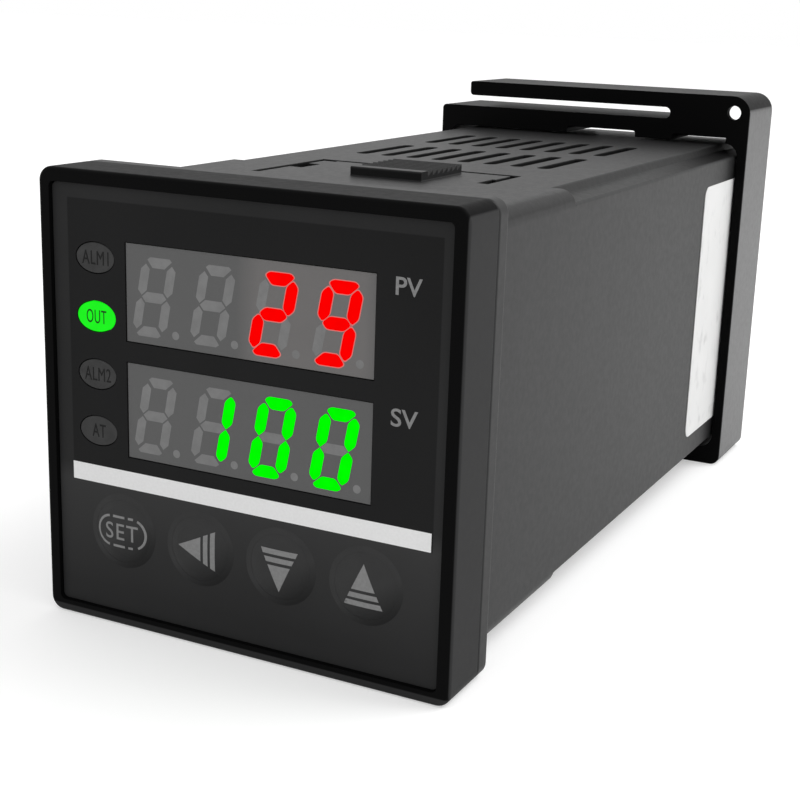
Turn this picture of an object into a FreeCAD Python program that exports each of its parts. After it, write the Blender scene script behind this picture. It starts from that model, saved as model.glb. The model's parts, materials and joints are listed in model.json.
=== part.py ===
import FreeCAD, Part
import math
import os

from FreeCAD import Vector

# Panel-mounted temperature controller, 48 mm square front, plug-in inner assembly.
# Frame: +X right seen from the front, +Y towards the rear, +Z up.
# Origin: on the case axis, in the rear face of the case flange, which seats on the panel.
# All sizes are in millimetres.

# ---- clearances -------------------------------------------------------------------------
slide_gap = 0.3            # between pieces that slide past each other
trim_gap = 0.1             # round inserts that drop into a window or a hole
screw_gap = 0.05           # round a screw shank in its hole
hole_gap = 0.2             # round a screw shank in a washer, plate or board

# ---- front bezel ------------------------------------------------------------------------
bezel_overlap = 1.6        # how far the bezel and the flange stand out past the case
bezel_corner = 1.5
bezel_depth = 6.5
bezel_wall = 1.6
bezel_round = 0.5          # rounding of the front outer edge
bezel_border = 1.4         # rim left round the overlay
bezel_back_wall = 1.2
front_wall = 1.6           # wall behind the overlay
collar_wall = 1.4
collar_reach = 3.0         # collar past the panel seat, into the case
post_radius = 1.3          # posts that carry the display board
post_pilot = 0.65
post_side_inset = 1.6      # insets are measured from the display board's edge
post_top_inset = 2.2
post_low_inset = 1.3

# ---- overlay film -----------------------------------------------------------------------
film_recess = 0.45
film_thick = 0.3
film_corner = 0.6

# ---- display windows and seven-segment digits ---------------------------------------------
window_left_inset = 5.0    # from the display board's edge to the windows
window_right_inset = 3.8
window_height = 10.2
upper_window_inset = 6.5   # from the board's top edge to the upper window's middle
window_pitch = 12.25
display_recess = 0.1       # display face behind the overlay's face
digit_count = 4
digit_side_margin = 0.34   # left over at each end of a row of digits
digit_row_shift_x = -0.35
digit_row_shift_z = -0.2
digit_width = 3.1          # between the centre lines of the upright segments
digit_height = 7.05        # between the centre lines of the top and bottom segments
digit_slant = 10.7         # degrees
segment_width = 1.05
segment_gap = 0.16
segment_depth = 0.25
point_radius = 0.42
point_offset = 2.55        # decimal point right of its digit's middle

# ---- indicator lamps --------------------------------------------------------------------
lamp_inset = 1.3           # from the board's edge to the lamps' middles
lamp_top_inset = 3.4
lamp_pitch = 6.05
lamp_width = 4.7
lamp_height = 3.1
lamp_recess = 0.05
lamp_head_depth = 1.0      # lens head behind the front wall
lamp_stem_radius = 1.2
led_size = 1.6
led_height = 1.0

# ---- keys -------------------------------------------------------------------------------
key_count = 4
key_low_inset = 5.15       # from the board's edges to the keys' middles
key_left_inset = 4.3
key_right_inset = 4.1
key_radius = 3.65
key_gap = 0.08             # round a cap in the overlay's hole
key_dome = 0.42            # height of the cap above the overlay
key_crown = 0.12           # how much of that the nearly flat top rises
key_shoulder = 0.95        # width of the rounded shoulder
key_shoulder_bulge = 0.05
key_edge_drop = 0.05       # the shoulder's foot below the overlay's face
key_flange_radius = 4.25
key_flange_thick = 0.8
key_stem_radius = 1.4
key_travel = 0.35
switch_size = 6.0
switch_height = 3.4
plunger_radius = 1.7
plunger_height = 0.9       # part of the plunger above the switch body

# ---- display board ----------------------------------------------------------------------
board_thick = 1.6
board_seat_y = 0.5         # front face of the display board
board_screw_radius = 0.9
board_screw_head_radius = 1.6
board_screw_head = 1.1
board_screw_bite = 4.5     # length of the shank in the post

# ---- case -------------------------------------------------------------------------------
flange_depth = 2.5
flange_round = 0.5
case_size = 44.8
case_corner = 1.9
case_wall = 1.8
case_length = 90.0         # behind the panel seat
cavity_corner = 1.0
rebate_width = 3.0         # stepped corners that guide the mounting frame
rebate_depth = 0.9
rebate_step = 0.5          # sideways run of the step's sloping face
rebate_fall = 0.5          # fall of the ledge towards the outer corner
rebate_start = 22.0
rebate_corner = 0.4
rebate_edge = 0.1          # rounding of the step's two inner edges

vent_count = 8
vent_pitch = 3.49
vent_width = 1.7
vent_shift_x = -0.55
vent_row_starts = (38.6, 58.2)
vent_lengths = (14.3, 14.8)

guide_width = 1.0          # ribs in the case that guide the inner boards
guide_gap = 0.3
guide_reach = 1.0          # overlap of the ribs with the board's edge

# ---- release tongue in the top of the case --------------------------------------------------
tongue_half_width = 12.9
tongue_start = 13.5
tongue_end = 29.6
tongue_slit = 1.0
tongue_window_start = 20.2
tongue_window_length = 4.3
tongue_window_left = 2.6
tongue_window_right = 1.4
tongue_notch = 1.6
pad_left = -2.4
pad_right = 6.3
pad_start = 17.3
pad_height = 1.0
pad_lip = 1.6              # plain lip in front of the ridges
pad_ridge_pitch = 1.25
pad_ridge_depth = 0.55

# ---- terminal block ---------------------------------------------------------------------
block_depth = 11.0         # behind the case
block_plug = 6.0           # part inside the case
block_inset = 0.2
terminal_rows = 5
terminal_end_gap = 1.1     # from the cavity's walls to the column of terminals
terminal_width = 6.6
terminal_reach = 10.5      # terminal recess inwards from the case's side
terminal_depth = 6.8
screw_inset = 5.4          # screw's axis from the case's side
screw_radius = 1.45
screw_head_radius = 2.75
screw_head = 2.1
screw_length = 7.5         # shank under the head
recess_width = 0.7
recess_reach = 1.5
recess_depth = 1.1
plate_thick = 0.8
plate_inset = 1.8          # contact plate's end from the case's side
plate_height = 5.8
leaf_thick = 0.5
leaf_height = 3.0
leaf_reach = 8.0           # leaf in front of the block
washer_thick = 0.8
washer_size = 5.9
groove_width = 1.6
groove_depth = 0.8
groove_x = 6.0

# ---- side label -------------------------------------------------------------------------
label_start = 72.4
label_height = 35.6
label_thick = 0.1
label_corner = 1.6
label_end_margin = 0.5

# ---- mounting frame ---------------------------------------------------------------------
ring_depth = 13.0
ring_rear_margin = 1.5     # ring's rear face ahead of the terminal block's
ring_overhang = 0.1        # ring's sides past the bezel's
ring_bottom_wall = 2.5
ring_strip = 3.0           # wall over the case
ring_slit = 1.6
ring_arm = 2.1
ring_arm_start = -19.5
ring_slit_end = 12.4
ring_bottom_corner = 1.4
ring_top_corner = 2.6
ring_small_corner = 0.6
ring_hole_radius = 1.0
ring_hole_inset = 2.35
relief_height = 0.9        # channel under the strip near the corner
relief_start = 12.8
relief_end = 20.9
relief_depth = 9.0         # from the ring's front face
pad_relief_gap = 0.2
ring_web = 1.4             # front web of the cored upper corner
core_start = 14.0          # left side of the corner's rear pocket
core_wall = 1.2            # walls round the pocket at the ring's side and top
core_floor = 1.8           # wall under the pocket
core_corner = 0.5

# ---- inner boards and what they carry -------------------------------------------------------
side_board_inset = 4.6     # side boards' middles from the display board's edge
side_board_edge_gap = 0.1  # side boards' edges inside the display board's
side_board_front_gap = 0.4
side_board_rear_gap = 0.6
core_length = 18.0
core_height = 15.0
core_depth = 13.0
core_leg = 4.0
core_front = 12.0
core_low_gap = 3.0         # gaps from the side boards' lower edge
coil_overhang = 2.2
relay_length = 20.0
relay_height = 10.0
relay_depth = 10.5
relay_front = 33.0
relay_low_gap = 3.5
capacitor_radius = 5.0
capacitor_length = 16.0
capacitor_front = 44.0
capacitor_rise = 10.5      # axis above the board's lower edge
capacitor_waist = 1.8      # rolled groove behind the can's front end
capacitor_groove = 0.8
capacitor_groove_depth = 0.5
small_capacitor_radius = 3.15
small_capacitor_length = 11.0
small_capacitor_pitch = 8.0
small_capacitor_y = 57.5
small_capacitor_rise = 7.5
chip_size = 12.0
chip_thick = 1.6
chip_rear_gap = 8.0        # to the contact leaves
chip_z = 4.0
fuse_radius = 2.6
fuse_length = 9.0
fuse_y = 56.0
fuse_z = 3.0
trimmer_size = 6.5
trimmer_thick = 4.0
trimmer_rotor_radius = 2.34
trimmer_rotor = 0.6        # rotor's height and the width of its slot
trimmer_slot_depth = 0.4
trimmer_y = 28.0
trimmer_z = 3.0
header_length = 5.0
header_thick = 2.6
header_height = 22.0
brace_rear_gap = 1.0       # to the contact leaves
brace_length = 5.0
brace_low_gap = 1.5
brace_height = 6.0
brace_post = 2.0           # posts at the brace's ends
brace_slope = 2.0
brace_floor = 2.0
latch_length = 24.0
latch_width = 7.0
latch_thick = 1.0
latch_hook = 2.0
latch_gap = 0.3

# ---- positions worked out from the sizes above -------------------------------------------------
bezel_size = case_size + 2 * bezel_overlap
front_y = -(bezel_depth + flange_depth)
seam_y = -flange_depth
film_front_y = front_y + film_recess
wall_front_y = film_front_y + film_thick
wall_back_y = wall_front_y + front_wall
cavity_half = case_size / 2 - case_wall
collar_half = cavity_half - slide_gap
collar_inner = collar_half - collar_wall
display_front_y = film_front_y + display_recess
board_half = collar_inner - slide_gap
board_back_y = board_seat_y + board_thick
rear_y = case_length + block_depth
plug_front_y = case_length - block_plug
plate_y = rear_y - terminal_depth
leaf_front_y = plug_front_y - leaf_reach
brace_start = leaf_front_y - brace_rear_gap - brace_length
chip_y = leaf_front_y - chip_rear_gap - chip_size / 2
screw_x = case_size / 2 - screw_inset
terminal_inner_x = case_size / 2 - terminal_reach
terminal_pitch = 2 * (cavity_half - terminal_end_gap) / terminal_rows
side_board_x = board_half - side_board_inset
side_board_height = 2 * (board_half - side_board_edge_gap)
side_board_low_z = -side_board_height / 2
core_low_z = side_board_low_z + core_low_gap
relay_low_z = side_board_low_z + relay_low_gap
brace_low_z = side_board_low_z + brace_low_gap
side_board_rear_y = plug_front_y - side_board_rear_gap
side_board_front_y = board_back_y + side_board_front_gap
side_board_inner = side_board_x - board_thick / 2
side_board_outer = side_board_x + board_thick / 2
leaf_outer = side_board_inner - slide_gap
ring_front_y = rear_y - ring_rear_margin - ring_depth
ring_inner_half = case_size / 2 + slide_gap
ring_outer_half = bezel_size / 2 + ring_overhang
key_flange_y = wall_back_y + slide_gap
plunger_tip_y = board_seat_y - switch_height - plunger_height
window_width = 2 * board_half - window_left_inset - window_right_inset
window_x = (window_left_inset - window_right_inset) / 2
upper_window_z = board_half - upper_window_inset
lower_window_z = upper_window_z - window_pitch
digit_pitch = (window_width - 2 * digit_side_margin) / digit_count
lamp_x = lamp_inset - board_half
lamp_top_z = board_half - lamp_top_inset
key_z = key_low_inset - board_half
key_pitch = (2 * board_half - key_left_inset - key_right_inset) / (key_count - 1)
key_xs = [key_left_inset - board_half + i * key_pitch for i in range(key_count)]
key_names = ("set", "shift", "down", "up")
lamp_names = ("alarm_1", "output", "alarm_2", "autotune")
lamp_zs = [lamp_top_z - i * lamp_pitch for i in range(len(lamp_names))]
post_side_x = board_half - post_side_inset
post_low_z = post_low_inset - board_half
post_places = [(-post_side_x, lamp_top_z - lamp_pitch / 2), (post_side_x, board_half - post_top_inset),
               ((key_xs[0] + key_xs[1]) / 2, post_low_z), ((key_xs[2] + key_xs[3]) / 2, post_low_z)]
terminal_zs = [(i - (terminal_rows - 1) / 2) * terminal_pitch for i in range(terminal_rows)]


# ---- drawing helpers --------------------------------------------------------------------------
def point_on(axis, a, b, c):
    """Point at height c along the axis, a and b in the plane across it."""
    if axis == "x":
        return Vector(c, a, b)
    if axis == "y":
        return Vector(a, c, b)
    return Vector(a, b, c)


def rounded_wire(corners, axis, c):
    """Closed outline of straight sides; each corner is (a, b, radius)."""
    runs = []
    count = len(corners)
    for i in range(count):
        a, b, radius = corners[i]
        before = corners[i - 1]
        after = corners[(i + 1) % count]
        to_before = Vector(before[0] - a, before[1] - b, 0)
        to_after = Vector(after[0] - a, after[1] - b, 0)
        to_before.normalize()
        to_after.normalize()
        corner = Vector(a, b, 0)
        if radius <= 0:
            runs.append((corner, corner, corner))
            continue
        half_turn = to_before.getAngle(to_after) / 2
        reach = radius / math.tan(half_turn)
        middle = to_before + to_after
        middle.normalize()
        centre = corner + middle * (radius / math.sin(half_turn))
        runs.append((corner + to_before * reach, centre - middle * radius, corner + to_after * reach))
    edges = []
    for i in range(count):
        start, mid, end = [point_on(axis, p.x, p.y, c) for p in runs[i]]
        following = runs[(i + 1) % count][0]
        following = point_on(axis, following.x, following.y, c)
        if start.distanceToPoint(end) > 1e-6:
            edges.append(Part.Arc(start, mid, end).toShape())
        if end.distanceToPoint(following) > 1e-6:
            edges.append(Part.LineSegment(end, following).toShape())
    return Part.Wire(edges)


def prism(corners, axis, low, high):
    face = Part.Face(rounded_wire(corners, axis, low))
    return face.extrude(point_on(axis, 0, 0, high - low))


def rectangle(centre_a, centre_b, width, height, radius):
    left = centre_a - width / 2
    right = centre_a + width / 2
    low = centre_b - height / 2
    high = centre_b + height / 2
    return [(left, low, radius), (right, low, radius), (right, high, radius), (left, high, radius)]


def square_prism(half, radius, low, high):
    return prism(rectangle(0, 0, 2 * half, 2 * half, radius), "y", low, high)


def box(x0, x1, y0, y1, z0, z1):
    return Part.makeBox(x1 - x0, y1 - y0, z1 - z0, Vector(x0, y0, z0))


def side_box(side, x0, x1, y0, y1, z0, z1):
    """Box between distances x0 and x1 from the middle, on the side -1 or 1."""
    left, right = sorted((side * x0, side * x1))
    return box(left, right, y0, y1, z0, z1)


def rod_y(x, z, radius, low, high):
    return Part.makeCylinder(radius, high - low, Vector(x, low, z), Vector(0, 1, 0))


def ellipse_rod(x, z, width, height, low, high):
    curve = Part.Ellipse(Vector(x, low, z), width / 2, height / 2)
    curve.Axis = Vector(0, -1, 0)
    curve.XAxis = Vector(1, 0, 0)
    face = Part.Face(Part.Wire([curve.toShape()]))
    return face.extrude(Vector(0, high - low, 0))


def turned(profile, x, z):
    """Solid of revolution about the line through (x, z) along Y; profile is (radius, y) points."""
    points = [Vector(x + radius, y, z) for radius, y in profile]
    face = Part.Face(Part.makePolygon(points + [points[0]]))
    return face.revolve(Vector(x, 0, z), Vector(0, 1, 0), 360)


def joined(shapes):
    return shapes[0].fuse(shapes[1:]).removeSplitter()


def group(shapes):
    return Part.makeCompound(shapes)


def case_section(inset, low, high):
    """Stepped-corner section of the case, drawn in by inset on every side."""
    half = case_size / 2 - inset
    step = half - rebate_width
    ledge = half - rebate_depth
    quarter = [(half, ledge - rebate_fall, rebate_corner), (step + rebate_step, ledge, rebate_edge),
               (step, half, rebate_edge)]
    corners = []
    for side_x, side_z in ((1, 1), (-1, 1), (-1, -1), (1, -1)):
        run = quarter if side_x == side_z else quarter[::-1]
        corners += [(side_x * x, side_z * z, radius) for x, z, radius in run]
    return prism(corners, "y", low, high)


# ---- case -------------------------------------------------------------------------------------
def vent_cutters(low_z, high_z):
    cutters = []
    for start, length in zip(vent_row_starts, vent_lengths):
        for i in range(vent_count):
            x = vent_shift_x + (i - (vent_count - 1) / 2) * vent_pitch
            corners = rectangle(x, start + length / 2, vent_width, length, vent_width * 0.49)
            cutters.append(prism(corners, "z", low_z, high_z))
    return cutters


def tongue_cutters():
    low = cavity_half - 1.0
    high = case_size / 2 + 1.0
    half = tongue_half_width
    window_end = tongue_window_start + tongue_window_length
    slits = [
        (-half, -half + tongue_slit, tongue_start, tongue_end),
        (-half, -half + tongue_window_left, tongue_window_start, window_end),
        (-half, -half + tongue_window_left, tongue_end - tongue_notch, tongue_end),
        (-half, half, tongue_end - tongue_slit, tongue_end),
        (half - tongue_slit, half, tongue_window_start, tongue_end),
        (half - tongue_window_right, half, tongue_window_start, window_end),
    ]
    return [box(x0, x1, y0, y1, low, high) for x0, x1, y0, y1 in slits]


def release_pad():
    """Finger pad: a plain lip at the front, then saw-tooth ridges up to the tongue's free end."""
    top = case_size / 2 + pad_height
    foot = case_size / 2 - 0.2
    end = tongue_end - tongue_slit
    corners = [(pad_start, foot, 0), (pad_start, top, 0.2), (pad_start + pad_lip, top, 0)]
    ridges = int((end - pad_start - pad_lip) / pad_ridge_pitch)
    for i in range(ridges):
        y = pad_start + pad_lip + i * pad_ridge_pitch
        corners.append((y + 0.05, top - pad_ridge_depth, 0))
        corners.append((y + pad_ridge_pitch, top, 0))
    corners.append((y + pad_ridge_pitch, foot, 0))
    return prism(corners, "x", pad_left, pad_right)


def board_guides():
    reach = side_board_height / 2 - guide_reach
    ribs = []
    for side in (-1, 1):
        for x in (side_board_outer + guide_gap, side_board_inner - guide_gap - guide_width):
            for low, high in ((-cavity_half - 0.2, -reach), (reach, cavity_half + 0.2)):
                start = vent_row_starts[-1] + vent_lengths[-1] + guide_width
                ribs.append(side_box(side, x, x + guide_width, start, plug_front_y, low, high))
    return ribs


def make_case_shell():
    front = square_prism(case_size / 2, case_corner, 0, rebate_start)
    rear = case_section(0, rebate_start, case_length)
    flange = square_prism(bezel_size / 2, bezel_corner, seam_y, 0)
    rim = [e for e in flange.Edges if abs(e.CenterOfMass.y - seam_y) < 1e-6 or abs(e.CenterOfMass.y) < 1e-6]
    flange = flange.makeFillet(flange_round, rim)
    shell = joined([flange, front, rear])
    shell = shell.cut(square_prism(cavity_half, cavity_corner, seam_y - 1, case_length + 1))
    shell = joined([shell, release_pad()] + board_guides())
    above = (cavity_half - 3.0, case_size / 2 + 1.0)
    cutters = tongue_cutters() + vent_cutters(*above) + vent_cutters(-above[1], -above[0])
    return shell.cut(cutters)


# ---- terminal block -----------------------------------------------------------------------------
def make_terminal_block():
    plug = square_prism(cavity_half - slide_gap, cavity_corner, plug_front_y, case_length)
    rear = case_section(block_inset, case_length, rear_y)
    cutters = []
    for side in (-1, 1):
        for z in terminal_zs:
            half = terminal_width / 2
            cutters.append(side_box(side, terminal_inner_x, case_size, plate_y, rear_y + 1,
                                    z - half, z + half))
            leaf_in = leaf_outer - leaf_thick - hole_gap
            leaf_half = leaf_height / 2 + hole_gap
            cutters.append(side_box(side, leaf_in, leaf_outer + hole_gap, plug_front_y - 1, plate_y + 1,
                                    z - leaf_half, z + leaf_half))
            shank_end = plate_y + plate_thick + washer_thick - screw_length - 0.5
            cutters.append(rod_y(side * screw_x, z, screw_radius + screw_gap, shank_end, plate_y + 1))
        x = side * groove_x
        cutters.append(box(x - groove_width / 2, x + groove_width / 2, rear_y - groove_depth, rear_y + 1,
                           -case_size, case_size))
    return joined([plug, rear]).cut(cutters)


def make_terminal_contacts():
    contacts = []
    for side in (-1, 1):
        for z in terminal_zs:
            inner = leaf_outer - leaf_thick
            plate = side_box(side, inner, case_size / 2 - plate_inset, plate_y, plate_y + plate_thick,
                             z - plate_height / 2, z + plate_height / 2)
            leaf = side_box(side, inner, leaf_outer, leaf_front_y, plate_y + plate_thick,
                            z - leaf_height / 2, z + leaf_height / 2)
            hole = rod_y(side * screw_x, z, screw_radius + hole_gap, plate_y - 1, plate_y + plate_thick + 1)
            contacts.append(plate.fuse(leaf).removeSplitter().cut(hole))
    return group(contacts)


def make_clamp_washers():
    washers = []
    low = plate_y + plate_thick
    for side in (-1, 1):
        for z in terminal_zs:
            corners = rectangle(side * screw_x, z, washer_size, washer_size, 0.5)
            washer = prism(corners, "y", low, low + washer_thick)
            washers.append(washer.cut(rod_y(side * screw_x, z, screw_radius + hole_gap, low - 1, low + 2)))
    return group(washers)


def pan_screw(x, z, seat_y, head_radius, head, radius, length, recess):
    """Screw whose head stands at +Y from its seat; recess is (width, reach, depth) of the cross."""
    width, reach, depth = recess
    top = seat_y + head
    crown = head * 0.35
    profile = [(0, seat_y - length), (radius, seat_y - length), (radius, seat_y), (head_radius, seat_y),
               (head_radius, top - crown), (head_radius - crown, top - crown * 0.25),
               (head_radius * 0.45, top), (0, top)]
    cross = [box(x - reach, x + reach, top - depth, top + 1, z - width / 2, z + width / 2),
             box(x - width / 2, x + width / 2, top - depth, top + 1, z - reach, z + reach)]
    return turned(profile, x, z).cut(cross)


def make_terminal_screws():
    screws = []
    seat = plate_y + plate_thick + washer_thick
    for side in (-1, 1):
        for z in terminal_zs:
            screws.append(pan_screw(side * screw_x, z, seat, screw_head_radius, screw_head, screw_radius,
                                    screw_length, (recess_width, recess_reach, recess_depth)))
    return group(screws)


def make_side_label():
    x = case_size / 2
    end = case_length - label_end_margin
    corners = rectangle((label_start + end) / 2, 0, end - label_start, label_height, label_corner)
    return prism(corners, "x", x, x + label_thick)


# ---- mounting frame -----------------------------------------------------------------------------
def make_mounting_frame():
    bottom = -ring_inner_half - ring_bottom_wall
    strip_top = ring_inner_half + ring_strip
    arm_low = strip_top + ring_slit
    top = arm_low + ring_arm
    slit_round = ring_slit * 0.48
    corners = [
        (-ring_outer_half, bottom, ring_bottom_corner),
        (ring_outer_half, bottom, ring_bottom_corner),
        (ring_outer_half, top, ring_top_corner),
        (ring_arm_start, top, ring_small_corner * 0.6),
        (ring_arm_start, arm_low, ring_small_corner),
        (ring_slit_end, arm_low, slit_round),
        (ring_slit_end, strip_top, slit_round),
        (-ring_outer_half, strip_top, ring_small_corner),
    ]
    rear = ring_front_y + ring_depth
    ring = prism(corners, "y", ring_front_y, rear)
    low = ring_front_y - 1
    high = rear + 1
    relief_top = ring_inner_half + relief_height
    relief = prism([(relief_start, 0, 0), (relief_end, 0, 0), (relief_end, relief_top, 0.3),
                    (relief_start, relief_top, 0.7)], "y", low, ring_front_y + relief_depth)
    pad_top = case_size / 2 + pad_height + pad_relief_gap
    pad_relief = prism([(pad_left - 1, 0, 0), (pad_right + 1, 0, 0), (pad_right + 1, pad_top, 0.4),
                        (pad_left - 1, pad_top, 0.4)], "y", low, high)
    hole = rod_y(ring_outer_half - ring_hole_inset, top - ring_hole_inset, ring_hole_radius, low, high)
    pocket_side = ring_outer_half - core_wall
    pocket_top = top - core_wall
    pocket_low = ring_inner_half + core_floor
    pocket = prism([(core_start, pocket_low, core_corner), (pocket_side, pocket_low, core_corner),
                    (pocket_side, pocket_top, ring_top_corner - core_wall),
                    (core_start, pocket_top, core_corner)], "y", ring_front_y + ring_web, high)
    bore = square_prism(ring_inner_half, case_corner, low, high)
    return ring.cut([bore, relief, pad_relief, hole, pocket])


# ---- bezel and overlay --------------------------------------------------------------------------
def window_centres():
    return [(window_x, upper_window_z), (window_x, lower_window_z)]


def front_openings(low, high):
    """Holes in the front wall and the overlay for the displays, the lamps and the keys."""
    cutters = []
    for x, z in window_centres():
        cutters.append(prism(rectangle(x, z, window_width, window_height, 0), "y", low, high))
    for z in lamp_zs:
        cutters.append(ellipse_rod(lamp_x, z, lamp_width + 2 * trim_gap, lamp_height + 2 * trim_gap,
                                   low, high))
    for x in key_xs:
        cutters.append(rod_y(x, key_z, key_radius + key_gap, low, high))
    return cutters


def make_bezel():
    block = square_prism(bezel_size / 2, bezel_corner, front_y, seam_y)
    rim = [e for e in block.Edges if abs(e.CenterOfMass.y - front_y) < 1e-6]
    block = block.makeFillet(bezel_round, rim)
    recess = square_prism(bezel_size / 2 - bezel_border, film_corner, front_y - 1, wall_front_y)
    hollow = square_prism(bezel_size / 2 - bezel_wall, cavity_corner, wall_back_y, seam_y - bezel_back_wall)
    opening = square_prism(collar_inner, cavity_corner, wall_back_y, collar_reach + 1)
    collar = square_prism(collar_half, cavity_corner, seam_y - bezel_back_wall, collar_reach)
    latch_x = (pad_left + pad_right) / 2
    latch_top = collar_half - latch_gap
    latch_end = collar_reach + latch_length
    arm = box(latch_x - latch_width / 2, latch_x + latch_width / 2, 0, latch_end,
              latch_top - latch_thick, latch_top)
    hook_low = latch_top - latch_thick
    hook = prism([(latch_end - latch_hook, hook_low, 0), (latch_end, hook_low, 0),
                  (latch_end - latch_hook, collar_half, 0)],
                 "x", latch_x - latch_width / 2, latch_x + latch_width / 2)
    body = block.cut([recess, hollow]).fuse(collar).cut(opening)
    posts = [rod_y(x, z, post_radius, wall_back_y - 0.5, board_seat_y) for x, z in post_places]
    body = joined([body, arm, hook] + posts)
    pilots = [rod_y(x, z, post_pilot, board_seat_y - board_screw_bite - 0.5, board_seat_y + 1)
              for x, z in post_places]
    return body.cut(pilots + front_openings(wall_front_y - 1, wall_back_y + 0.01))


def make_front_film():
    half = bezel_size / 2 - bezel_border - trim_gap
    film = square_prism(half, film_corner, film_front_y, wall_front_y)
    return film.cut(front_openings(film_front_y - 1, wall_front_y + 1))


# ---- displays -------------------------------------------------------------------------------------
def segment_outlines():
    """Outlines of the seven segments of one upright digit, about its middle."""
    half = segment_width / 2
    side = digit_width / 2
    tall = digit_height / 2
    length = digit_width - segment_gap
    slope = 0.75

    def flat(z, out):
        if out == 0:
            return [(-length / 2, z), (-length / 2 + half, z + half), (length / 2 - half, z + half),
                    (length / 2, z), (length / 2 - half, z - half), (-length / 2 + half, z - half)]
        return [(-length / 2, z + out * half * 0.5), (-length / 2 + half * 0.6, z + out * half),
                (length / 2 - half * 0.6, z + out * half), (length / 2, z + out * half * 0.5),
                (length / 2 - slope, z - out * half), (-length / 2 + slope, z - out * half)]

    def upright(x, low, high):
        return [(x, high), (x + half, high - half), (x + half, low + half),
                (x, low), (x - half, low + half), (x - half, high - half)]

    return {
        "a": flat(tall, 1),
        "b": upright(side, segment_gap, tall - segment_gap),
        "c": upright(side, -tall + segment_gap, -segment_gap),
        "d": flat(-tall, -1),
        "e": upright(-side, -tall + segment_gap, -segment_gap),
        "f": upright(-side, segment_gap, tall - segment_gap),
        "g": flat(0, 0),
    }


def digit_segments(middle_x, middle_z, low, high):
    """Solids of one digit's segments and its decimal point, by letter."""
    lean = math.tan(math.radians(digit_slant))
    solids = {}
    for letter, outline in segment_outlines().items():
        corners = [(middle_x + x + lean * z, middle_z + z, 0) for x, z in outline]
        solids[letter] = prism(corners, "y", low, high)
    solids["point"] = rod_y(middle_x + point_offset, middle_z - digit_height / 2, point_radius, low, high)
    return solids


shown_segments = {" ": "", "0": "abcdef", "1": "bc", "2": "abged", "9": "abcdfg"}


def display_pieces(window_z, text):
    """Display body with pockets, its lit segments and its unlit ones."""
    x = window_x
    width = window_width - 2 * trim_gap
    height = window_height - 2 * trim_gap
    body = prism(rectangle(x, window_z, width, height, 0), "y", display_front_y, board_seat_y)
    lit = []
    unlit = []
    for i, character in enumerate(text):
        middle_x = x + digit_row_shift_x + (i - (digit_count - 1) / 2) * digit_pitch
        solids = digit_segments(middle_x, window_z + digit_row_shift_z, display_front_y,
                                display_front_y + segment_depth)
        for letter, solid in solids.items():
            if letter in shown_segments[character]:
                lit.append(solid)
            else:
                unlit.append(solid)
    return body.cut(lit + unlit), group(lit), group(unlit)


def make_lamp(z):
    """Oval lens head with a round light pipe towards its diode."""
    head_end = wall_back_y + lamp_head_depth
    head = ellipse_rod(lamp_x, z, lamp_width, lamp_height, film_front_y + lamp_recess, head_end)
    stem = rod_y(lamp_x, z, lamp_stem_radius, head_end - 1, board_seat_y - led_height - slide_gap)
    return joined([head, stem])


def make_indicator_leds():
    leds = []
    for z in lamp_zs:
        leds.append(box(lamp_x - led_size / 2, lamp_x + led_size / 2, board_seat_y - led_height,
                        board_seat_y, z - led_size / 2, z + led_size / 2))
    return group(leds)


# ---- keys -----------------------------------------------------------------------------------------
def make_key(x):
    """Key cap with a nearly flat crown, a rounded shoulder, its retaining flange and its stem."""
    apex = film_front_y - key_dome
    edge = film_front_y + key_edge_drop
    crown_reach = key_radius - key_shoulder
    crown = Part.Arc(Vector(x, apex, key_z), Vector(x + crown_reach / 2, apex + key_crown / 4, key_z),
                     Vector(x + crown_reach, apex + key_crown, key_z)).toShape()
    fall = edge - apex - key_crown
    slant = math.hypot(key_shoulder, fall)
    middle_x = x + crown_reach + key_shoulder / 2 + key_shoulder_bulge * fall / slant
    middle_y = apex + key_crown + fall / 2 - key_shoulder_bulge * key_shoulder / slant
    shoulder = Part.Arc(Vector(x + crown_reach, apex + key_crown, key_z), Vector(middle_x, middle_y, key_z),
                        Vector(x + key_radius, edge, key_z)).toShape()
    rest = [(key_radius, edge), (key_radius, key_flange_y), (key_flange_radius, key_flange_y),
            (key_flange_radius, key_flange_y + key_flange_thick),
            (key_stem_radius, key_flange_y + key_flange_thick), (key_stem_radius, plunger_tip_y),
            (0, plunger_tip_y), (0, apex)]
    points = [Vector(x + radius, y, key_z) for radius, y in rest]
    face = Part.Face(Part.Wire([crown, shoulder] + Part.makePolygon(points).Edges))
    return face.revolve(Vector(x, 0, key_z), Vector(0, 1, 0), 360)


def make_plunger(x):
    inner_end = board_seat_y - switch_height + plunger_height
    return rod_y(x, key_z, plunger_radius, plunger_tip_y, inner_end)


def make_tact_switches():
    switches = []
    for x in key_xs:
        corners = rectangle(x, key_z, switch_size, switch_size, 0.4)
        body = prism(corners, "y", board_seat_y - switch_height, board_seat_y)
        well_end = board_seat_y - switch_height + plunger_height + key_travel + trim_gap
        well = rod_y(x, key_z, plunger_radius + trim_gap, board_seat_y - switch_height - 1, well_end)
        switches.append(body.cut(well))
    return group(switches)


# ---- boards ---------------------------------------------------------------------------------------
def make_display_board():
    board = square_prism(board_half, cavity_corner, board_seat_y, board_back_y)
    return board.cut([rod_y(x, z, board_screw_radius + hole_gap, board_seat_y - 1, board_back_y + 1)
                      for x, z in post_places])


def make_board_screws():
    return group([pan_screw(x, z, board_back_y, board_screw_head_radius, board_screw_head,
                            post_pilot - screw_gap, board_thick + board_screw_bite, (0.4, 0.9, 0.6))
                  for x, z in post_places])


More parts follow.
